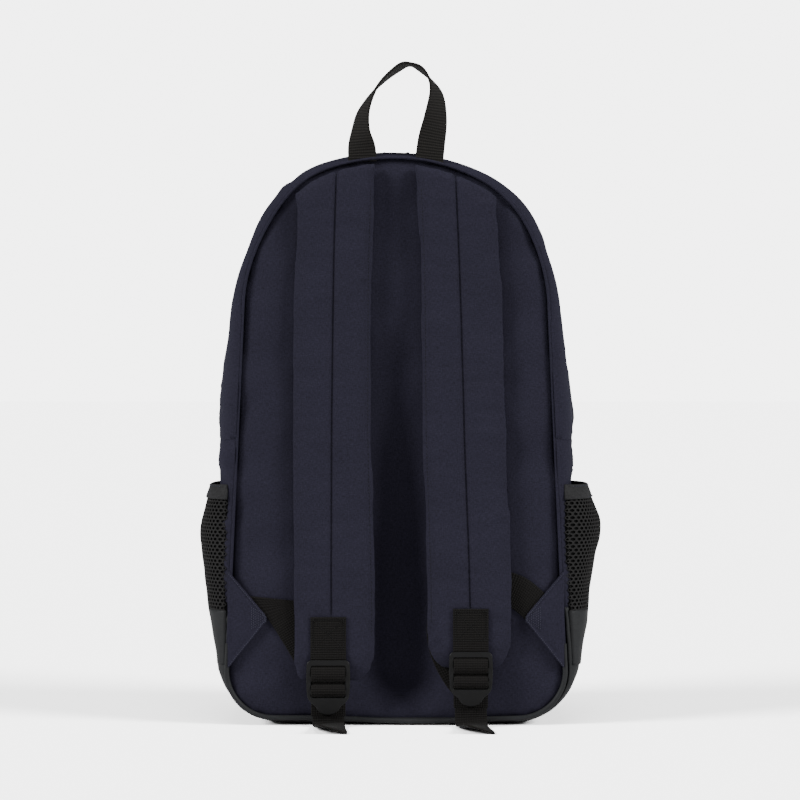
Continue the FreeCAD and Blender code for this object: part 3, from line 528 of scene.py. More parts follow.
def clothPush(x, y, z, normal):
    push = bagCloth["fullness"] * bell(z, 265, 75) * smoothStep(abs(x), 60, 140) * bell(y, -15, 62)
    push += bagCloth["crown"] * bell(y, -46, 22) * smoothStep(z, 400, 440)
    for x0, wide, z0, tall, y0, deep, out in dents:
        push += out * bell(x, x0, wide) * bell(z, z0, tall) * bell(y, y0, deep)
    broad = wave(x, y * 1.4, z, 70, 3.1) + 0.5 * wave(x, y, z * 1.6, 34, 8.7)
    push += bagCloth["wrinkle"] * broad
    fold = wave(x * 0.6, y * 0.45, z * 2.1, 40, 5.5)
    push += 1.7 * (1 - abs(fold) * 3.2) * smoothStep(1 - abs(fold) * 3.2, 0.4, 1.0) * bell(z, 170, 120)
    for place in (levels["flapHinge"], levels["wrapTop"]):
        gap = abs(z - place)
        push += seamPull(gap, 1.5, 5) + bagCloth["pucker"] * wave(x, y, 0, 9, 2.0) * math.exp(-gap / 9)
    seam = y - levels["seamDepth"]
    ends = abs(levels["frontDepth"] - y)
    along = wave(x, 0, z, 10, 4.2)
    push += bagCloth["pucker"] * along * (math.exp(-seam / 10) + math.exp(-ends / 10))
    if z > levels["flapHinge"]:
        zipGap = max(0.0, abs(y) - levels["zipHalf"])
        push += 1.2 * bell(zipGap, 4, 5) - 0.6 * math.exp(-zipGap / 2)
        push += 0.4 * along * math.exp(-zipGap / 8)
    if z < 30:
        push *= smoothStep(z, 2, 26)
    return push


def bagSkin():
    profile = crossProfile()
    main = archOutline("main")
    ends = {"panel": archOutline("panel"), "front": archOutline("front")}
    points = []
    for depth, family, share in profile:
        for (endX, endZ), (mainX, mainZ) in zip(ends[family], main):
            points.append((endX + (mainX - endX) * share, depth, endZ + (mainZ - endZ) * share))
    skin = addPiece("bagSkin", points, gridFaces(len(profile), len(main), True))
    outwards(skin)
    moveAlongNormals(skin, clothPush)
    for vertex in skin.data.vertices:
        vertex.co.x += bagCloth["leanRight"] * mm * (1 - smoothStep(vertex.co.z / mm, 50, 150))
    return skin


face = {"crown": 9, "hingeFlat": 42, "middle": 225, "halfWide": 118, "halfTall": 215}


def faceCrown(share, z):
    # the face swells in the middle but stays flat along the hinge line, so the flap can fold
    return face["crown"] * (1 - share ** 2.6) * smoothStep(abs(z - levels["flapHinge"]), 0,
                                                           face["hingeFlat"])


def frontFace():
    panel = ringFan("frontFace", archOutline("front"), face["middle"], 30, 1.15,
                    lambda share, x, z: levels["frontDepth"] + faceCrown(share, z))

    def push(x, y, z, normal):
        away = math.hypot(x / face["halfWide"], (z - face["middle"]) / face["halfTall"])
        edge = 1 - smoothStep(away, 0.8, 1.0)
        amount = 1.6 * wave(x, 0, z * 1.4, 55, 1.7) + 0.8 * wave(x, 0, z, 24, 6.1)
        amount *= smoothStep(abs(z - levels["flapHinge"]), 0, 20)
        for place in (levels["flapHinge"], levels["wrapTop"]):
            gap = abs(z - place)
            amount += seamPull(gap, 1.2, 5) + 0.5 * wave(x, 0, 0, 9, 2.5) * math.exp(-gap / 9)
        return amount * (0.25 + 0.75 * edge)
    return moveAlongNormals(panel, push)


def makeBagCloth():
    skin = bagSkin()
    panel = frontFace()
    hinge = levels["flapHinge"]
    gap = levels["hingeGap"]
    wrap = levels["wrapTop"]
    half = levels["zipHalf"]
    above = ((0, 0, hinge), (0, 0, 1))
    flapAbove = ((0, 0, hinge + gap), (0, 0, 1))
    below = ((0, 0, hinge), (0, 0, -1))
    overWrap = ((0, 0, wrap), (0, 0, 1))
    underWrap = ((0, 0, wrap), (0, 0, -1))
    pieces = [
        (skin, "rearGusset", [above, ((0, -half, 0), (0, -1, 0))], navyTwill, "bag", "navy_cloth",
         ["rear_gusset"]),
        (skin, "frontGusset", [flapAbove, ((0, half, 0), (0, 1, 0))], navyTwill, "front_flap", "navy_cloth",
         ["front_gusset"]),
        *[(skin, f"sidePanel{side.title()}", [below, overWrap, ((0, 0, 0), (sign, 0, 0))], navyTwill, "bag",
           "navy_cloth", [f"side_panel_{side}"]) for side, sign in sides.items()],
        (skin, "baseWrap", [underWrap], coatedCloth, "bag", "coated_cloth", ["base_wrap"]),
        (panel, "baseWrapFront", [underWrap], coatedCloth, "bag", "coated_cloth", []),
        (panel, "frontPanelLower", [below, overWrap], navyTwill, "bag", "navy_cloth", ["front_panel_lower"]),
        (panel, "frontFlapPanel", [flapAbove], navyTwill, "front_flap", "navy_cloth", ["front_flap_panel"]),
    ]
    for source, name, planes, material, body, slotName, nodes in pieces:
        part = thicken(keepPart(source, name, planes), bagCloth["thickness"])
        finish(part, material, body, nodes)
    for source in (skin, panel):
        bpy.data.objects.remove(source)


makeBagCloth()
print("bag cloth made")


swell = {"mass": 0.3, "tension": 25, "bending": 1.0, "steps": 20}


def inflate(piece, voxel, pressure, cap):
    # padding swells under a short cloth simulation; no point moves further than the cap
    addModifier(piece, "REMESH", mode="VOXEL", voxel_size=voxel * mm, use_smooth_shade=True)
    settle(piece)
    start = [vertex.co.copy() for vertex in piece.data.vertices]
    cloth = addModifier(piece, "CLOTH")
    cloth.settings.use_pressure = True
    cloth.settings.uniform_pressure_force = pressure
    cloth.settings.effector_weights.gravity = 0
    cloth.settings.quality = 5
    cloth.settings.mass = swell["mass"]
    cloth.settings.tension_stiffness = swell["tension"]
    cloth.settings.bending_stiffness = swell["bending"]
    cloth.point_cache.frame_end = swell["steps"]
    for step in range(1, swell["steps"] + 1):
        bpy.context.scene.frame_set(step)
    graph = bpy.context.evaluated_depsgraph_get()
    swollen = [vertex.co.copy() for vertex in piece.evaluated_get(graph).data.vertices]
    piece.modifiers.clear()
    for vertex, place, before in zip(piece.data.vertices, swollen, start):
        move = place - before
        if move.length > cap * mm:
            move = move.normalized() * cap * mm
        vertex.co = before + move
    bpy.context.scene.frame_set(1)
    addModifier(piece, "SUBSURF", levels=1, render_levels=1)
    return settle(piece)


def slab(name, outline, rear, front):
    count = len(outline)
    points = [(x, rear, z) for x, z in outline] + [(x, front, z) for x, z in outline]
    faces = gridFaces(2, count, True) + [tuple(range(count)), tuple(range(2 * count - 1, count - 1, -1))]
    return outwards(addPiece(name, points, faces, smooth=False))


backPad = {"inset": -3.2, "thick": 9, "voxel": 4.5, "pressure": 3.0, "cap": 3.0, "hollow": 32,
           "hollowWide": 37}


def panelHollow(x, z):
    # the panel falls in behind and between the straps, deepest low down in the middle
    deep = backPad["hollow"] * bell(x, 2, backPad["hollowWide"])
    fall = 0.1 + 0.9 * (1 - smoothStep(z, 90, 380))
    return deep * smoothStep(z, 6, 45) * fall * (1 - smoothStep(z, 440, 470))


def bottomSag(x, z):
    # the low edge hangs a little below the seam line, most near the middle
    return 3.0 * bell(x, 20, 60) * (1 - smoothStep(z, 8, 30))


def makeBackPanel():
    seam = levels["seamDepth"]
    panel = slab("backPanel", archOutline("panel", backPad["inset"]), seam + backPad["thick"], seam + 2.4)
    inflate(panel, backPad["voxel"], backPad["pressure"], backPad["cap"])

    def push(x, y, z, normal):
        if normal.y > -0.2:
            return 0.0
        slant = wave(x * 0.7 + z * 0.5, 0, z * 1.3 - x * 0.6, 38, 3.7)
        return 1.5 * wave(x, 0, z * 1.5, 60, 9.3) + 0.9 * wave(x * 1.4, 0, z, 26, 4.4) + 1.1 * slant
    moveAlongNormals(panel, push)
    for vertex in panel.data.vertices:
        x, y, z = vertex.co / mm
        vertex.co.y += panelHollow(x, z) * mm
        vertex.co.z -= bottomSag(x, z) * mm
    finish(panel, navyTwill, "bag", ["back_panel_cover", "back_panel_foam"])
    inner = seam + backPad["thick"] + 1.2
    lining = ringFan("backLining", archOutline("panel", 3.0), 235, 24, 1.1,
                     lambda share, x, z: inner + panelHollow(x, z))
    thicken(lining, 0.9)
    finish(lining, liningCloth, "bag", ["back_panel_lining"])


makeBackPanel()
print("back panel made")


straps = {
    "left": {"near": [(-81, 462), (-85, 421), (-87.5, 303), (-87.5, 242), (-86, 104), (-85, 78)],
             "far": [(-17, 477), (-20, 388), (-20.5, 242), (-17, 104), (-17, 70)], "low": 36, "lowNear": -76,
             "lowFar": -36, "stitchTop": (-51, 469), "stitchLow": (-57, 92)},
    "right": {"near": [(17, 477), (21, 388), (22, 242), (26, 138), (26.5, 95)],
              "far": [(83, 457), (88, 400), (92, 303), (92.6, 242), (98, 138),
                      (98, 70)], "low": 46, "lowNear": 46,
              "lowFar": 82, "stitchTop": (50, 471), "stitchLow": (63, 98)},
}
strapPad = {"back": -77.6, "thick": 8.5, "voxel": 3.4, "pressure": 5.0, "cap": 2.8, "grooveDeep": 2.2,
            "grooveWide": 1.5, "refine": 5.0, "edgeIn": 3.4, "fuller": 2.8}


def alongPath(points, height):
    for (x0, z0), (x1, z1) in zip(points, points[1:]):
        if z1 <= height <= z0:
            return x0 + (x1 - x0) * (z0 - height) / (z0 - z1)
    return points[0][0] if height > points[0][1] else points[-1][0]


def panelTop(x):
    # the arch of the panel at x; the radius depends on the angle, so it is found in a few steps
    shape = outlines["panel"]
    radius = shape["radius"] - 1.5
    for step in range(4):
        angle = math.acos(min(1.0, abs(x) / radius))
        radius = shape["radius"] - 1.5 + shoulderOut(angle, "left" if x < 0 else "right")
    return shape["centre"] + math.sqrt(max(0.0, radius ** 2 - x ** 2))


def smoothSide(points, height):
    total = 0.0
    for step in range(-3, 4):
        total += alongPath(points, height + step * 10)
    return total / 7


def lowCorner(start, edge, low):
    # a quarter turn from the side of the strap down to its low end
    corner = []
    for step in range(1, 8):
        turn = math.pi / 2 * step / 8
        corner.append((start[0] + (edge - start[0]) * (1 - math.cos(turn)),
                       start[1] - (start[1] - low) * math.sin(turn)))
    return corner


def strapOutline(look):
    near = []
    far = []
    height = look["low"] + 34
    while height < 446:
        near.append((smoothSide(look["near"], height) - strapPad["fuller"], height))
        far.append((smoothSide(look["far"], height) + strapPad["fuller"], height))
        height += 8
    topNear = near[-1][0] + (0.6 if look["low"] < 40 else 0)
    topFar = far[-1][0]
    crown = []
    for step in range(9):
        x = topNear + (topFar - topNear) * step / 8
        crown.append((x, panelTop(x) - 1.5))
    low = lowCorner(near[0], look["lowNear"], look["low"])
    lowRight = lowCorner(far[0], look["lowFar"], look["low"])
    rest = [point for point in near if point[1] < crown[0][1] - 4]
    restFar = [point for point in far if point[1] < crown[-1][1] - 4]
    return list(reversed(low)) + rest + crown + list(reversed(restFar)) + lowRight


def innerEdge(look, height):
    # the edge of the strap that faces the other strap
    side = "far" if look["stitchTop"][0] < 0 else "near"
    return smoothSide(look[side], height)


def stitchLine(look, height):
    (topX, topZ), (lowX, lowZ) = look["stitchTop"], look["stitchLow"]
    middle = (smoothSide(look["near"], height) + smoothSide(look["far"], height)) / 2
    straight = topX + (lowX - topX) * (topZ - height) / (topZ - lowZ)
    return straight * 0.6 + middle * 0.4


def refineAlong(piece, near):
    # a finer grid where the stitch channel is pressed in
    shape = bmesh.new()
    shape.from_mesh(piece.data)
    chosen = [edge for edge in shape.edges if all(near(*(vertex.co / mm)) for vertex in edge.verts)]
    bmesh.ops.subdivide_edges(shape, edges=chosen, cuts=1, use_grid_fill=True)
    shape.to_mesh(piece.data)
    shape.free()
    piece.data.polygons.foreach_set("use_smooth", [True] * len(piece.data.polygons))


def makeStrap(side):
    look = straps[side]
    back = strapPad["back"]
    strap = slab(f"strap{side.title()}", strapOutline(look), back, back - strapPad["thick"] + 2.5)
    inflate(strap, strapPad["voxel"], strapPad["pressure"], strapPad["cap"])
    refineAlong(strap, lambda x, y, z: y < back - 4 and abs(x - stitchLine(look, z)) < strapPad["refine"])

    def push(x, y, z, normal):
        seam = abs(x - stitchLine(look, z))
        inChannel = smoothStep(z, look["stitchLow"][1] - 6, look["stitchLow"][1] + 6)
        amount = -strapPad["grooveDeep"] * math.exp(-(seam / strapPad["grooveWide"]) ** 2) * inChannel
        if normal.y > 0.3:
            return min(0.0, amount * 0.3)
        crease = wave(x * 0.35, 0, z, 17, 7.7 if side == "left" else 12.1)
        amount += 0.7 * crease * smoothStep(abs(crease), 0.15, 0.5)
        amount += 0.9 * wave(x, 0, z, 44, 2.2) + 0.35 * wave(x, 0, z * 1.6, 15, 9.9)
        edge = abs(x - innerEdge(look, z)) - strapPad["edgeIn"]
        amount -= 0.7 * math.exp(-(edge / 1.3) ** 2)
        return amount
    moveAlongNormals(strap, push)
    for vertex in strap.data.vertices:
        vertex.co.y = min(vertex.co.y, back * mm)
    finish(strap, strapTwill, f"strap_{side}",
           [f"strap_backing_{side}", f"strap_foam_{side}", f"strap_face_{side}"])


for strapSide in ("left", "right"):
    makeStrap(strapSide)
print("straps made")


def newTree(name, numbers, materialName):
    tree = bpy.data.node_groups.new(name, "GeometryNodeTree")
    face = tree.interface
    face.new_socket("Geometry", in_out="INPUT", socket_type="NodeSocketGeometry")
    for number in numbers:
        face.new_socket(number, in_out="INPUT", socket_type="NodeSocketFloat")
    face.new_socket(materialName, in_out="INPUT", socket_type="NodeSocketMaterial")
    face.new_socket("Geometry", in_out="OUTPUT", socket_type="NodeSocketGeometry")
    return tree, addNode(tree, "NodeGroupInput").outputs


def closeTree(tree, made, material, smooth=False):
    # what the instances make becomes one mesh with its material
    made = addNode(tree, "GeometryNodeRealizeInstances", links={"Geometry": made}).outputs[0]
    if smooth:
        made = addNode(tree, "GeometryNodeSetShadeSmooth", links={"Geometry": made}).outputs[0]
    coloured = addNode(tree, "GeometryNodeSetMaterial", links={"Geometry": made, "Material": material})
    addNode(tree, "NodeGroupOutput", links={"Geometry": coloured.outputs[0]})
    return tree


def repeatAlong(tree, inputs, axis, unit, size):
    # copies of one unit along the route, a pitch apart and turned with it
    route = addNode(tree, "GeometryNodeMeshToCurve", links={"Mesh": inputs["Geometry"]})
    spots = addNode(tree, "GeometryNodeCurveToPoints", {"mode": "LENGTH"},
                    links={"Curve": route.outputs[0], "Length": inputs["Pitch"]})
    turn = addNode(tree, "FunctionNodeAlignEulerToVector", {"axis": axis},
                   links={"Vector": spots.outputs["Tangent"]})
    scale = addNode(tree, "ShaderNodeCombineXYZ", links=dict(zip("XYZ", size)))
    return addNode(tree, "GeometryNodeInstanceOnPoints",
                   links={"Points": spots.outputs["Points"], "Instance": unit.outputs["Mesh"],
                          "Rotation": turn.outputs["Rotation"], "Scale": scale.outputs[0]}).outputs[0]


def stitchTree():
    tree, inputs = newTree("stitchRow", ("Pitch", "Length", "Thread"), "Thread material")
    loop = addNode(tree, "GeometryNodeMeshIcoSphere", values={"Subdivisions": 1, "Radius": 1.0})
    half = addNode(tree, "ShaderNodeMath", {"operation": "MULTIPLY"}, {1: 0.5}, {0: inputs["Length"]})
    size = (inputs["Thread"], inputs["Thread"], half.outputs[0])
    return closeTree(tree, repeatAlong(tree, inputs, "Z", loop, size), inputs["Thread material"])


stitchRow = stitchTree()
stitchLook = {"pitch": 3.0, "length": 2.4, "thread": 0.34}


def setInputs(item, tree, values):
    for socket in tree.interface.items_tree:
        if socket.in_out == "INPUT" and socket.name in values:
            item[socket.identifier] = values[socket.name]


def chainPiece(name, rows):
    # edges only, one chain of them for each row of points
    points = []
    edges = []
    for row in rows:
        start = len(points)
        points += [Vector(point) * mm for point in row]
        edges += [(index, index + 1) for index in range(start, len(points) - 1)]
    mesh = bpy.data.meshes.new(name)
    mesh.from_pydata(points, edges, [])
    return linkObject(name, mesh)


def sewRows(name, rows, body, thread, look=None):
    look = look or stitchLook
    piece = chainPiece(name, rows)
    item = addModifier(piece, "NODES", node_group=stitchRow)
    setInputs(item, stitchRow, {"Pitch": look["pitch"] * mm, "Length": look["length"] * mm,
                                "Thread": look["thread"] * mm, "Thread material": thread})
    settle(piece)
    return finish(piece, thread, body)


def surfaceDepth(piece, x, z, direction=1):
    start = Vector((x * mm, -0.4 * direction, z * mm))
    hit, place, normal, face = piece.ray_cast(start, Vector((0, direction, 0)))
    return place.y / mm if hit else None


def laidRow(piece, spots, lift, direction=1):
    # a row of points laid on the surface, without those that miss it
    row = []
    for x, z in spots:
        depth = surfaceDepth(piece, x, z, direction)
        if depth is not None:
            row.append((x, depth + lift, z))
    return row


def heightsDown(high, low):
    heights = []
    while high > low:
        heights.append(high)
        high -= 3
    return heights


def sewStrap(side):
    look = straps[side]
    strap = bpy.data.objects[f"strap{side.title()}"]
    inward = sides[side] * strapPad["edgeIn"]
    channel = [(stitchLine(look, z), z) for z in heightsDown(look["stitchTop"][1] - 4, look["stitchLow"][1])]
    edge = [(innerEdge(look, z) + inward, z) for z in heightsDown(452, look["low"] + 40)]
    rows = [laidRow(strap, channel, 0.05), laidRow(strap, edge, 0.1)]
    sewRows(f"strapSeam{side.title()}", rows, f"strap_{side}", seamThreadAndShade)


for strapSide in ("left", "right"):
    sewStrap(strapSide)
print("strap seams made")


def smoothRoute(points, steps):
    route = []
    count = len(points)
    for index in range(count - 1):
        before = Vector(points[max(index - 1, 0)])
        start, end = Vector(points[index]), Vector(points[index + 1])
        after = Vector(points[min(index + 2, count - 1)])
        for step in range(steps):
            share = step / steps
            square, cube = share ** 2, share ** 3
            route.append(0.5 * (2 * start + (end - before) * share
                                + (2 * before - 5 * start + 4 * end - after) * square
                                + (3 * start - before - 3 * end + after) * cube))
    route.append(Vector(points[-1]))
    return route


def ribbon(name, middles, acrosses, wide, thick, steps=8, upright=True):
    route = smoothRoute(middles, steps)
    turns = smoothRoute(acrosses, steps)
    halfWide, halfThick = wide / 2, thick / 2
    shape = []
    for sign, first in ((1, -90), (-1, 90)):
        for step in range(0, 181, 30):
            turn = math.radians(first + step)
            shape.append((sign * (halfWide - halfThick) + halfThick * math.cos(turn),
                          halfThick * math.sin(turn)))
    points = []
    lengths = []
    travelled = 0.0
    for index, place in enumerate(route):
        ahead = route[min(index + 1, len(route) - 1)] - route[max(index - 1, 0)]
        across = turns[index].normalized() if upright else turns[index]
        normal = ahead.normalized().cross(across).normalized()
        if upright:
            across = normal.cross(ahead.normalized()).normalized()
        if index:
            travelled += (place - route[index - 1]).length
        lengths.append(travelled)
        points += [tuple(place + across * x + normal * z) for x, z in shape]
    count = len(shape)
    faces = gridFaces(len(route), count, True)
    faces += [tuple(range(count)), tuple(range(len(points) - 1, len(points) - count - 1, -1))]
    piece = addPiece(name, points, faces)
    layer = piece.data.uv_layers.new(name="cloth")
    for loop in piece.data.loops:
        ring, spot = divmod(loop.vertex_index, count)
        layer.data[loop.index].uv = ((shape[spot][0] + halfWide) * mm, lengths[ring] * mm)
    shapeMesh = bmesh.new()
    shapeMesh.from_mesh(piece.data)
    bmesh.ops.recalc_face_normals(shapeMesh, faces=shapeMesh.faces)
    shapeMesh.to_mesh(piece.data)
    shapeMesh.free()
    return piece


handle = {
    "wide": 24, "thick": 2.2,
    "middles": [(-28.5, -74.5, 477), (-28.8, -75.5, 486), (-29.8, -76.5, 503), (-27, -77, 520),
                (-16.6, -77, 539), (-3.4, -76.5, 552), (8.5, -76, 559), (19, -76, 556.5), (28.5, -76, 547),
                (34, -76.5, 534), (33.4, -76, 514), (30, -75.5, 494), (28, -74.5, 477)],
    "turns": [0, 6, 49, 66, 86, 98, 104, 96, 84, 62, 36, 12, 2],
}


def makeHandle():
    acrosses = []
    for index, angle in enumerate(handle["turns"]):
        turn = math.radians(angle)
        way = -1 if index > 6 else 1
        acrosses.append((way * math.cos(turn), -math.sin(turn), 0))
    piece = ribbon("grabHandle", handle["middles"], acrosses, handle["wide"], handle["thick"], steps=10)
    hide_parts("top_handle")
    piece.data.materials.append(handleWeb)
    return piece


grabHandle = makeHandle()
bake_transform(grabHandle)
print("handle made")


def hangRibbon(name, middles, across, wide, thick, material, body, nodes=(), steps=8,
               upright=True):
    turns = across if isinstance(across, list) else [across] * len(middles)
    piece = ribbon(name, middles, turns, wide, thick, steps, upright)
    return finish(piece, material, body, nodes)


# ladder locks: a moulded frame with two rungs, a round top bar and a half-round tongue
lock = {"half": 18.1, "rail": 3.5, "thick": 3.8, "rungs": ((-11.0, -14.5), (-22.0, -25.5)),
        "shoulder": -28.8, "tongue": 11.3, "low": -43.6, "top": 2.6, "barLow": -2.2, "bevel": 0.7,
        "bow": 0.5, "depth": -91.4, "left": (-57, 54), "right": (63, 61)}
loopWeb = {"wide": 30, "face": -86.3, "top": 38.5, "thick": 1.4}
threadWeb = {"wide": 29, "thick": 1.4}


def roundedLoop(corners, radius, steps=4):
    loop = []
    count = len(corners)
    for index, corner in enumerate(corners):
        here = Vector(corner)
        before = Vector(corners[index - 1]) - here
        after = Vector(corners[(index + 1) % count]) - here
        reach = min(radius, before.length / 2.1, after.length / 2.1)
        start = here + before.normalized() * reach
        end = here + after.normalized() * reach
        for step in range(steps + 1):
            share = step / steps
            loop.append(start.lerp(here, share).lerp(here.lerp(end, share), share))
    return loop


def lockCurve(side):
    x, z = lock[side]
    half, rail, bow = lock["half"], lock["rail"], lock["bow"]
    centre = lock["low"] + lock["tongue"]
    tongue = [(-half + 0.6, lock["shoulder"] - 0.4), (-half + 3.4, lock["shoulder"] - 4.2)]
    for step in range(11):
        turn = math.radians(200 + 14 * step)
        tongue.append((lock["tongue"] * math.cos(turn), centre + lock["tongue"] * math.sin(turn)))
    tongue += [(half - 3.4, lock["shoulder"] - 4.2), (half - 0.6, lock["shoulder"] - 0.4)]
    outer = [(-half - bow, -14), (-half, lock["shoulder"] + 5)] + tongue
    outer += [(half, lock["shoulder"] + 5), (half + bow, -14), (half, lock["top"] - 2.5),
              (half - 2.5, lock["top"]), (-half + 2.5, lock["top"]), (-half, lock["top"] - 2.5)]
    inside = half - rail
    first, second = lock["rungs"]
    holes = [[(-inside, lock["barLow"]), (inside, lock["barLow"]), (inside, first[0]), (-inside, first[0])],
             [(-inside, first[1]), (inside, first[1]), (inside, second[0]), (-inside, second[0])],
             [(-inside, second[1]), (inside, second[1]), (inside, lock["shoulder"]),
              (-inside, lock["shoulder"])]]
    loops = [roundedLoop(outer, 2.2)] + [roundedLoop(hole, 1.2) for hole in holes]
    made = curvePiece(f"ladderLock{side.title()}", [[(*spot, 0) for spot in loop] for loop in loops], True,
                      dimensions="2D", fill_mode="BOTH", extrude=(lock["thick"] / 2 - lock["bevel"]) * mm,
                      bevel_depth=lock["bevel"] * mm, bevel_resolution=2, offset=-lock["bevel"] * mm)
    place = Matrix.Translation(Vector((x, lock["depth"], z)) * mm) @ Matrix.Rotation(math.pi / 2, 4, "X")
    made.data.transform(place)
    return made


def makeLocks(side):
    x, z = lock[side]
    frameMesh = outwards(lockCurve(side))
    depth = lock["depth"]
    finish(frameMesh, acetal, f"lock_{side}", [f"ladder_lock_{side}"])
    face = loopWeb["face"] - 0.9
    loopRoute = [(x, face + 0.1, z + loopWeb["top"]), (x, face - 0.2, z + 30), (x, face - 0.3, z + 16),
                 (x, face - 0.5, z + 8), (x, depth + 3.0, z + 3.4), (x, depth + 2.9, z),
                 (x, depth + 2.7, z - 3.0), (x, depth + 4.6, z - 4.4), (x, depth + 4.8, z + 1),
                 (x, face + 0.6, z + 7)]
    hangRibbon(f"lockLoop{side.title()}", loopRoute, (1, 0, 0), loopWeb["wide"], loopWeb["thick"], strapWeb,
               f"strap_{side}", [f"strap_webbing_{side}"], steps=6)
    front = depth - lock["thick"] / 2 - threadWeb["thick"] / 2
    back = depth + lock["thick"] / 2 + threadWeb["thick"] / 2
    humps = []
    for high, low in ((-2.9, -15.6), (-18.0, -27.9)):
        tall = high - low
        for place, share in ((depth + 0.4, 0), (front + 0.9, 0.12), (front - 0.3, 0.36), (front - 0.5, 0.62),
                             (front + 0.5, 0.88), (depth + 0.4, 1)):
            humps.append((x, place, z + high - share * tall))
    threadRoute = [(x, back, z - 12), (x, back - 0.2, z - 5)] + humps
    threadRoute += [(x, back, z + lock["shoulder"] - 1), (x, back, z - 36), (x, back, z + lock["low"] - 1.1)]
    hangRibbon(f"lockThread{side.title()}", threadRoute, (1, 0, 0), threadWeb["wide"], threadWeb["thick"],
               strapWeb,
               f"lock_{side}", [f"lock_webbing_{side}"], steps=5)


def sewPatch(side):
    x, z = lock[side]
    depth = loopWeb["face"] - 0.9 - loopWeb["thick"] / 2 - 0.35
    half = loopWeb["wide"] / 2 - 2.2
    high, low = z + loopWeb["top"] - 2.4, z + 12
    corners = [(x - half, high), (x + half, high), (x + half, low), (x - half, low), (x - half, high)]
    rows = [[(x0 + (x1 - x0) * step / 12, depth, z0 + (z1 - z0) * step / 12) for step in range(13)]
            for (x0, z0), (x1, z1) in zip(corners, corners[1:])]
    for (x0, z0), (x1, z1) in ((corners[0], corners[2]), (corners[1], corners[3])):
        rows.append([(x0 + (x1 - x0) * step / 16, depth, z0 + (z1 - z0) * step / 16) for step in range(17)])
    sewRows(f"patchStitches{side.title()}", rows, f"strap_{side}", webThread,
            {"pitch": 2.0, "length": 1.7, "thread": 0.32})


for lockSide in ("left", "right"):
    makeLocks(lockSide)
    sewPatch(lockSide)
print("ladder locks made")


tails = {"wide": 27, "thick": 1.4, "drop": -88.75, "reach": 54, "left": 4.0, "right": 6.0}


def makeTail(side):
    x, z = lock[side]
    top = z + lock["low"] - 1.2
    drop = tails["drop"]
    slide = tails[side]
    end = drop - tails["reach"]
    # the end twists as it comes to rest, one corner down and the other lifted
    route = [(x, drop, top), (x, drop - 0.2, top * 0.7), (x + 0.2, drop - 1.4, top * 0.36),
             (x + 0.8, drop - 6, 2.1), (x + slide * 0.4, drop - 20, 2.1), (x + slide * 0.8, drop - 38, 3.4),
             (x + slide, end, 4.8)]
    turns = [(1, 0, 0), (1, 0, 0), (1, -0.05, 0), (1, -0.15, -0.03), (0.95, -0.3, -0.06),
             (0.87, -0.42, -0.12), (0.8, -0.5, -0.2)]
    hangRibbon(f"webbingTail{side.title()}", route, turns, tails["wide"], tails["thick"], strapWeb,
               f"tail_{side}",
               [f"webbing_tail_{side}"])


for tailSide in ("left", "right"):
    makeTail(tailSide)


# triangle tabs in the side seams with the adjuster webbing that runs behind the straps
tabs = {"high": 132, "tipHigh": 91, "low": 47.5, "seam": 142.5, "tip": 109, "tipHalf": 2.5, "depth": -78.4,
        "thick": 1.6, "stitchIn": 3.2, "middle": (128, 88), "tackIn": 7, "tackRows": 9, "tackApart": 1.5}
adjuster = {"depth": -76.7, "wide": 28, "thick": 1.3}


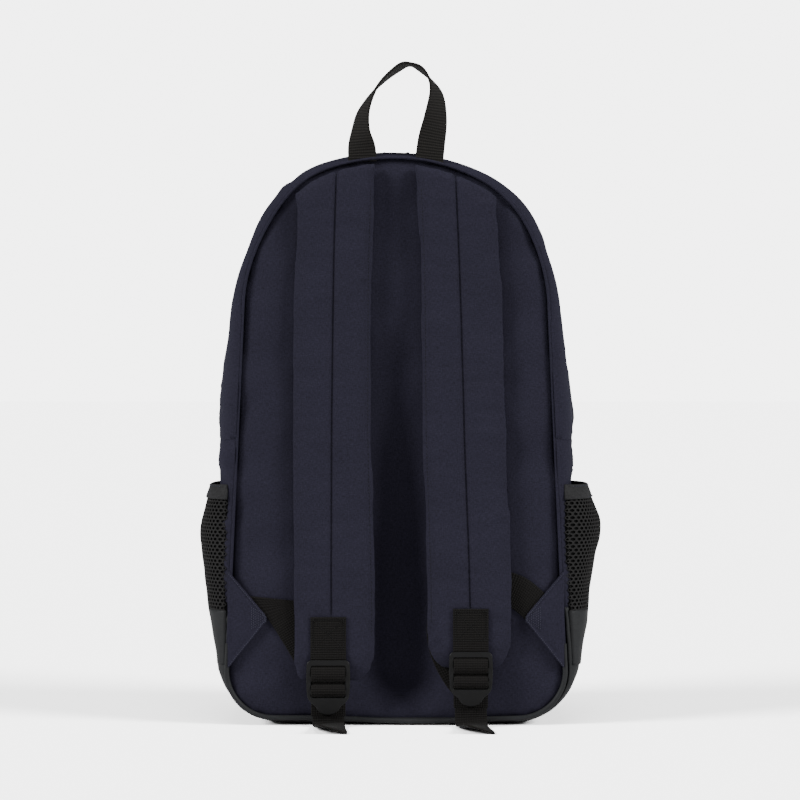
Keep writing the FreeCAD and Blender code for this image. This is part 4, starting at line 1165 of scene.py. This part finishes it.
def makeTab(side, sign):
    corners = [(sign * tabs["seam"], tabs["high"]),
               (sign * (tabs["tip"] + 1), tabs["tipHigh"] + tabs["tipHalf"]),
               (sign * tabs["tip"], tabs["tipHigh"] - 2), (sign * tabs["seam"], tabs["low"])]
    outline = [tuple(point) for point in roundedLoop(corners, 3.0, 4)]
    dense = []
    for index, point in enumerate(outline):
        after = outline[(index + 1) % len(outline)]
        pieces = max(1, int((Vector(after) - Vector(point)).length / 4))
        dense += [tuple(Vector(point).lerp(Vector(after), step / pieces)) for step in range(pieces)]
    tab = slab(f"tab{side.title()}", dense, tabs["depth"] + tabs["thick"] / 2,
               tabs["depth"] - tabs["thick"] / 2)
    addModifier(tab, "REMESH", mode="VOXEL", voxel_size=0.9 * mm, use_smooth_shade=True)
    settle(tab)
    middle = Vector((sign * tabs["middle"][0], tabs["middle"][1]))

    def push(x, y, z, normal):
        if normal.y > -0.3:
            return 0.0
        gap = 60.0
        for index, corner in enumerate(corners):
            start = Vector(corner)
            along = (Vector(corners[(index + 1) % 4]) - start).normalized()
            away = abs((Vector((x, z)) - start).cross(along))
            gap = min(gap, away)
        return 0.7 * smoothStep(gap, 2, 14) - 0.4 * bell(gap, tabs["stitchIn"], 1.0) + 0.35 * wave(x, 0, z,
                                                                                                   14, 3.3)
    moveAlongNormals(tab, push)
    finish(tab, strapTwill, "bag", [f"triangle_tab_{side}"])
    rows = []
    for index, corner in enumerate(corners[:3]):
        start = Vector(corner).lerp(middle, 0.09)
        end = Vector(corners[index + 1]).lerp(middle, 0.09)
        rows.append(laidRow(tab, [start.lerp(end, step / 20) for step in range(21)], -0.05))
    tip = Vector((sign * (tabs["tip"] + tabs["tackIn"]), tabs["tipHigh"]))
    for line in range(tabs["tackRows"]):
        x = tip[0] + sign * (line - 4) * tabs["tackApart"]
        tall = 3.0 + 0.72 * line
        rows.append(laidRow(tab, [(x, tip[1] - tall + 2 * tall * step / 6) for step in range(7)], -0.1))
    sewRows(f"tabStitches{side.title()}", [row for row in rows if len(row) > 1], "bag",
            tackThread,
            {"pitch": 1.9, "length": 1.5, "thread": 0.3})
    depth = adjuster["depth"]
    if side == "left":
        route = [(-104.5, depth, 107.5), (-99, depth, 101), (-94, depth, 94.5), (-84, depth, 78),
                 (-74, depth, 61), (-63, depth, 43)]
        across = [(1.45, 0, -0.15), (1.15, 0, 0.2), (0.9, 0, 0.5), (0.86, 0, 0.5), (0.86, 0, 0.5),
                  (0.86, 0, 0.5)]
    else:
        route = [(126, depth, 92), (113, depth, 105), (100, depth, 114), (84, depth, 117), (62, depth, 112),
                 (44, depth, 98), (40, depth, 84), (42.5, depth, 64), (52, depth, 44), (64, depth, 30)]
        across = [(-0.5, 0, -0.86), (-0.55, 0, -0.83), (-0.4, 0, -0.92), (-0.1, 0, -1), (0.4, 0, -0.9),
                  (0.85, 0, -0.5), (1, 0, -0.1), (0.98, 0, 0.2), (0.85, 0, 0.5), (0.8, 0, 0.6)]
    hangRibbon(f"adjuster{side.title()}", route, across, adjuster["wide"], adjuster["thick"], strapWeb,
               "bag", [f"adjuster_webbing_{side}"], upright=False)


for tabSide, tabSign in sides.items():
    makeTab(tabSide, tabSign)
print("tails and tabs made")


# side pockets: coated cloth up to the wrap, knitted mesh above it, binding at the mouth
pocket = {"levels": [(50, -4), (62, 1.5), (96, 8), (165, 18), (188, 11.5), (200, 7), (206, 5)], "half": 62.3,
          "middle": -12.3, "clear": 1.2, "low": 51, "knitLow": 96, "knitTop": 194, "mouth": 197.5,
          "rearIn": 11.2, "frontIn": 24.5, "meshPitch": 3.6, "holeShare": 0.66, "wall": 1.1, "yarn": 0.8,
          "shadeSheetThick": 0.4, "shadeSheetIn": 1.5, "seams": (192.6, 202.2)}


def sideReach(z):
    # how far the flared side of the bag stands out at a height
    shape = outlines["main"]
    flare = math.radians(shape["flare"])
    return (shape["radius"] + (shape["centre"] - z) * math.sin(flare)) / math.cos(flare)


def pocketStand(z):
    # how far the middle of the pocket stands off the side, from the table of heights
    points = pocket["levels"]
    for (z0, out0), (z1, out1) in zip(points, points[1:]):
        if z0 <= z <= z1:
            share = (z - z0) / (z1 - z0)
            return out0 + (out1 - out0) * share
    return points[0][1] if z < points[0][0] else points[-1][1]


def softStand(z):
    return sum(pocketStand(z + step * 4) for step in range(-3, 4)) / 7


def pocketPoint(side, across, z):
    # across runs from -1 at the rear edge to 1 at the front edge of the pocket
    depth = pocket["middle"] + across * pocket["half"]
    proud = 0.8 if side < 0 else 2.6 + 6.4 * bell(z, 172, 34)
    proud *= smoothStep(z, 62, 90)
    sideFull = bagCloth["fullness"] * bell(z, 265, 75) * 0.8
    out = (softStand(z) + proud) * (1 - abs(across) ** 2.6) + sideFull + pocket["clear"]
    # at the rear the pocket follows the rounded edge of the bag into the perimeter seam
    turn = math.acos(max(0.0, min(1.0, 1 - (depth - levels["seamDepth"]) / bagCloth["rearRound"])))
    out -= pocket["rearIn"] * (1 - math.sin(turn))
    ahead = max(0.0, depth - levels["frontDepth"] + bagCloth["frontRound"]) / bagCloth["frontRound"]
    out -= pocket["frontIn"] * (1 - math.sqrt(1 - ahead ** 2))
    out += side * bagCloth["leanRight"] * (1 - smoothStep(z, 50, 150))
    ripple = 0.9 * wave(across * 30, side * 9, z, 16, 6.6) * (1 - across ** 2)
    return (side * (sideReach(z) + out + ripple), depth, z)


def pocketSheet(name, side, low, high, rows, columns):
    points = []
    for row in range(rows + 1):
        z = low + (high - low) * row / rows
        for column in range(columns + 1):
            points.append(pocketPoint(side, column / columns * 2 - 1, z))
    piece = addPiece(name, points, gridFaces(rows + 1, columns + 1, False))
    mesh = piece.data
    if mesh.polygons[0].normal.x * side < 0:
        mesh.flip_normals()
    return piece


def meshTree():
    # the triangles become hexagonal cells, and each cell opens into a hole with a rim of yarn
    tree, inputs = newTree("knitHoles", ("Hole share",), "Yarn material")
    cells = addNode(tree, "GeometryNodeDualMesh", {}, {"Keep Boundaries": True},
                    {"Mesh": inputs["Geometry"]})
    rims = addNode(tree, "GeometryNodeExtrudeMesh", {"mode": "FACES"},
                   {"Offset Scale": 0.0, "Individual": True},
                   {"Mesh": cells.outputs[0]})
    holes = addNode(tree, "GeometryNodeScaleElements", {"domain": "FACE"},
                    links={"Geometry": rims.outputs["Mesh"], "Selection": rims.outputs["Top"],
                           "Scale": inputs["Hole share"]})
    opened = addNode(tree, "GeometryNodeDeleteGeometry", {"domain": "FACE"},
                     links={"Geometry": holes.outputs[0], "Selection": rims.outputs["Top"]})
    return closeTree(tree, opened.outputs[0], inputs["Yarn material"])


knitHoles = meshTree()


def trianglesFor(name, side, low, high):
    # rows of triangles, each row set over by half a pitch, for the cells of the knit
    pitch = pocket["meshPitch"]
    rows = int((high - low) / (pitch * 0.84))
    columns = int(2 * pocket["half"] / pitch)
    points = []
    for row in range(rows + 1):
        z = low + (high - low) * row / rows
        shift = 0.5 if row % 2 else 0.0
        for column in range(columns + 1):
            place = min(1.0, max(-1.0, (column + shift) / columns * 2 - 1))
            points.append(pocketPoint(side, place, z))
    faces = []
    wide = columns + 1
    for row in range(rows):
        for column in range(columns):
            here, right = row * wide + column, row * wide + column + 1
            above, aboveRight = here + wide, right + wide
            if row % 2:
                faces += [(here, right, aboveRight), (here, aboveRight, above)]
            else:
                faces += [(here, right, above), (right, aboveRight, above)]
    piece = addPiece(name, points, faces)
    if piece.data.polygons[len(faces) // 2].normal.x * side < 0:
        piece.data.flip_normals()
    return piece


def makePocket(side, sign):
    word = side.title()
    base = pocketSheet(f"pocketBase{word}", sign, pocket["low"], pocket["knitLow"] + 1, 24, 60)
    thicken(base, pocket["wall"])
    finish(base, coatedCloth, "bag", [f"pocket_base_{side}"])
    knit = trianglesFor(f"pocketMesh{word}", sign, pocket["knitLow"], pocket["knitTop"])
    item = addModifier(knit, "NODES", node_group=knitHoles)
    setInputs(item, knitHoles, {"Hole share": pocket["holeShare"], "Yarn material": knitMesh})
    thicken(knit, pocket["yarn"])
    finish(knit, knitMesh, "bag", [f"mesh_pocket_{side}"])
    # a nearly black sheet just inside the mesh: painted shade of the pocket's inside, seen through the holes
    shadeSheet = pocketSheet(f"pocketShadeSheet{word}", sign, pocket["knitLow"] - 1, pocket["knitTop"] + 1, 46, 60)
    moveAlongNormals(shadeSheet, lambda x, y, z, normal: -pocket["shadeSheetIn"])
    thicken(shadeSheet, pocket["shadeSheetThick"])
    finish(shadeSheet, paintedShadeSheet, "bag")
    edge = []
    for step in range(51):
        x, y, z = pocketPoint(sign, step / 50 * 2 - 1, pocket["mouth"])
        edge.append((x + sign * 0.2, y, z))
    turns = [(-sign * 0.36, 0, 1)] * len(edge)
    hangRibbon(f"pocketBinding{word}", edge, turns, 13, 2.0, bindingTape, "bag",
               [f"pocket_binding_{side}"], steps=2)
    rows = []
    for height in pocket["seams"]:
        row = []
        for step in range(2, 59):
            x, y, z = pocketPoint(sign, step / 60 * 2 - 1, height)
            row.append((x + sign * 1.3, y, z))
        rows.append(row)
    sewRows(f"pocketStitches{word}", rows, "bag", tackThread)


for pocketSide, pocketSign in sides.items():
    makePocket(pocketSide, pocketSign)
print("side pockets made")


# piping in the two perimeter seams
piping = {"radius": 1.4, "lowRadius": 2.2, "rearDepth": -75.6, "frontDepth": 76.2, "wrapEdge": 66,
          "flapFrom": 252, "frontTo": 232}


def tubeAlong(name, points, radius):
    piece = curvePiece(name, [points], False, dimensions="3D", bevel_depth=radius * mm, bevel_resolution=2,
                       use_fill_caps=True)
    piece.data.polygons.foreach_set("use_smooth", [True] * len(piece.data.polygons))
    return piece


def makePiping():
    ring = archOutline("panel", 0.6)
    rear = [(x, piping["rearDepth"] + 0.25 * wave(x, 0, z, 12, 1.1), z) for x, z in ring]
    rear = [(x, y, z - bottomSag(x, z)) for x, y, z in rear]
    first = next(index for index, point in enumerate(rear) if point[2] > piping["wrapEdge"])
    last = max(index for index, point in enumerate(rear) if point[2] > piping["wrapEdge"])
    finish(tubeAlong("rearPiping", rear[first:last + 1], piping["radius"]), navyTwill, "bag",
           ["rear_piping"])
    below = rear[last:] + rear[:first + 1]
    finish(tubeAlong("wrapPiping", below, piping["lowRadius"]), coatedCloth, "bag")
    frontRing = archOutline("front", 0.6)
    count = len(frontRing)
    high = [index for index, (x, z) in enumerate(frontRing) if z > piping["flapFrom"]]
    low = [index for index, (x, z) in enumerate(frontRing) if z < piping["frontTo"]]
    flap = [(frontRing[index][0], piping["frontDepth"], frontRing[index][1]) for index in high]
    start = next(index for index in low if (index - 1) % count not in low)
    below = []
    for step in range(count):
        index = (start + step) % count
        if index in low:
            below.append((frontRing[index][0], piping["frontDepth"], frontRing[index][1]))
    finish(tubeAlong("flapPiping", flap, piping["radius"]), navyTwill, "front_flap",
           ["flap_piping"])
    finish(tubeAlong("frontPiping", below, piping["radius"]), navyTwill, "bag",
           ["front_piping"])


makePiping()
print("piping made")


# the main zip: two tapes round the top and down to the hinge line, with a coil on each
mainZip = {"low": 242.8, "tapeIn": 1.0, "tape": (2.6, 5.2, 7.8, 10.5), "tapeThick": 0.9, "coilRow": 1.7,
           "pitch": 2.0, "toothLong": 2.4, "toothWide": 0.75, "seamRow": 9.9}


def coilTree():
    tree, inputs = newTree("zipCoil", ("Pitch", "Tooth radius", "Tooth length"), "Coil material")
    tooth = addNode(tree, "GeometryNodeMeshUVSphere", values={"Segments": 8, "Rings": 5, "Radius": 1.0})
    size = (inputs["Tooth radius"], inputs["Tooth length"], inputs["Tooth radius"])
    return closeTree(tree, repeatAlong(tree, inputs, "X", tooth, size), inputs["Coil material"], smooth=True)


zipCoil = coilTree()


def makeCoil(name, route, radius, long, pitch, body, nodes):
    piece = chainPiece(name, [route])
    item = addModifier(piece, "NODES", node_group=zipCoil)
    setInputs(item, zipCoil, {"Pitch": pitch * mm, "Tooth radius": radius * mm, "Tooth length": long * mm,
                              "Coil material": nylonCoil})
    settle(piece)
    return finish(piece, nylonCoil, body, nodes)


def zipRoute(inset, low):
    ring = archOutline("main", inset)
    return [(x, z) for x, z in ring if z > low]


def makeMainZip():
    for half, sign, body in (("rear", -1, "bag"), ("front", 1, "front_flap")):
        low = mainZip["low"] if half == "front" else levels["flapHinge"]
        strip = zipRoute(mainZip["tapeIn"], low)
        points = []
        for depth in mainZip["tape"]:
            points += [(x, sign * depth, z) for x, z in strip]
        tape = addPiece(f"{half}ZipTape", points, gridFaces(4, len(strip), False))
        top = tape.data.polygons[len(strip) // 2]
        if top.normal.z < 0:
            tape.data.flip_normals()
        thicken(tape, mainZip["tapeThick"])
        finish(tape, zipTape, body, [f"main_zip_tape_{half}"])
        row = [(x, sign * mainZip["coilRow"], z) for x, z in zipRoute(0.6, low + 0.8)]
        makeCoil(f"{half}ZipCoil", row, mainZip["toothWide"], mainZip["toothLong"] / 2, mainZip["pitch"],
                 body,
                 [f"main_zip_coil_{half}"])
        seam = [(x, sign * mainZip["seamRow"], z) for x, z in zipRoute(-1.0, low)]
        sewRows(f"{half}ZipStitches", [seam], body, seamThreadAndShade)


makeMainZip()
print("main zip made")


# front pouch: a crowned shell with a zip across its upper part
pouch = {"rear": 75.5, "depth": 33, "soft": 12, "zipHigh": 178, "zipHalf": 4, "zipLong": 72, "wall": 1.4,
         "straight": 25, "lean": 3, "seamOut": 6.0}


def pouchShell():
    outline = archOutline("pouch", 0.5, bottomSteps=18, cornerSteps=14, sideSteps=30, topSteps=44)
    points = []
    rows = []
    for step in range(7):
        rows.append((pouch["rear"] + pouch["straight"] * step / 7, pouch["lean"] * step / 7))
    turns = 9
    for step in range(turns + 1):
        turn = math.pi / 2 * step / turns
        depth = pouch["rear"] + pouch["straight"] + (pouch["depth"] - pouch["straight"]) * math.sin(turn)
        rows.append((depth, pouch["lean"] + pouch["soft"] * (1 - math.cos(turn))))
    middle = Vector((0, 118))
    for depth, inset in rows:
        for x, z in outline:
            away = Vector((x, z)) - middle
            place = middle + away * (1 - inset / away.length)
            points.append((place[0], depth, place[1]))
    rings = 18
    lastDepth, lastInset = rows[-1]
    for ring in range(1, rings):
        share = 1 - ring / rings
        for x, z in outline:
            away = Vector((x, z)) - middle
            place = middle + away * (1 - lastInset / away.length) * share
            points.append((place[0], lastDepth + 1.2 * (1 - share), place[1]))
    points.append((middle[0], lastDepth + 1.2, middle[1]))
    shell = outwards(addPiece("frontPouch", points, closeFan(len(rows) + rings - 1, len(outline))))
    addModifier(shell, "SUBSURF", levels=1, render_levels=1)
    settle(shell)

    def push(x, y, z, normal):
        broad = wave(x, y, z * 1.3, 42, 2.9)
        fine = wave(x, y, z, 15, 7.1)
        edge = smoothStep(y, 76, 84)
        zipGap = abs(z - pouch["zipHigh"])
        amount = edge * (1.5 * broad + 0.5 * fine)
        if y > 100 and abs(x) < pouch["zipLong"] + 8:
            amount -= 0.8 * bell(zipGap, 0, 7)
        return min(amount, 1.2)
    moveAlongNormals(shell, push)
    return shell


def makePouch():
    shell = pouchShell()
    thicken(shell, pouch["wall"])
    finish(shell, navyTwill, "bag", ["front_pouch"])
    across = []
    for step in range(25):
        x = -pouch["zipLong"] + 2 * pouch["zipLong"] * step / 24
        depth = surfaceDepth(shell, x, pouch["zipHigh"] + 0.3, direction=-1)
        across.append((x, (depth or 108) + 0.55, pouch["zipHigh"]))
    hangRibbon("pouchZipTape", across, (0, 0, 1), 2 * pouch["zipHalf"], 0.8, zipTape, "bag",
               ["pouch_zip_tape"], steps=2)
    row = [(x, y + 0.5, z) for x, y, z in across]
    makeCoil("pouchZipCoil", row, 0.55, 1.1, 1.5, "bag", ["pouch_zip_coil"])
    seams = [laidRow(shell, [(x, z + offset) for x, y, z in across], 0.05, direction=-1)
             for offset in (-pouch["seamOut"], pouch["seamOut"])]
    sewRows("pouchStitches", seams, "bag", seamThreadAndShade)


makePouch()
print("front pouch made")


# inside: racket divider with its binding, and the base board
inside = {"divider": -20, "thick": 3.6, "low": 6, "top": 330}


def makeInside():
    ring = [(x, z) for x, z in archOutline("main", 4.5) if z < inside["top"]]
    half = [(x, z) for x, z in ring if x >= 0]
    other = [(-x, z) for x, z in reversed(half) if x > 0]
    outline = [(x, max(z, inside["low"])) for x, z in half + other]
    divider = slab("racketDivider", outline, inside["divider"] + inside["thick"] / 2 - 0.8,
                   inside["divider"] - inside["thick"] / 2 + 0.8)
    inflate(divider, 4.0, 1.0, 0.6)
    finish(divider, liningCloth, "bag", ["racket_divider"])
    wide = sideReach(inside["top"]) - 6
    route = [(-wide + 2 * wide * step / 12, inside["divider"], inside["top"] + 1) for step in range(13)]
    hangRibbon("dividerBinding", route, (0, 0, 1), 8, 3.6, bindingTape, "bag",
               ["divider_binding"], steps=3)


makeInside()
for nodeName in ("base_board", "main_slider_left", "main_slider_right", "pouch_slider", "main_pull_left",
                 "main_pull_right", "pouch_pull"):
    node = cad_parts[nodeName]
    for slotNumber in range(len(node.material_slots)):
        node.material_slots[slotNumber].material = baseBoard if nodeName == "base_board" else blackZinc
print("inside and sliders made")
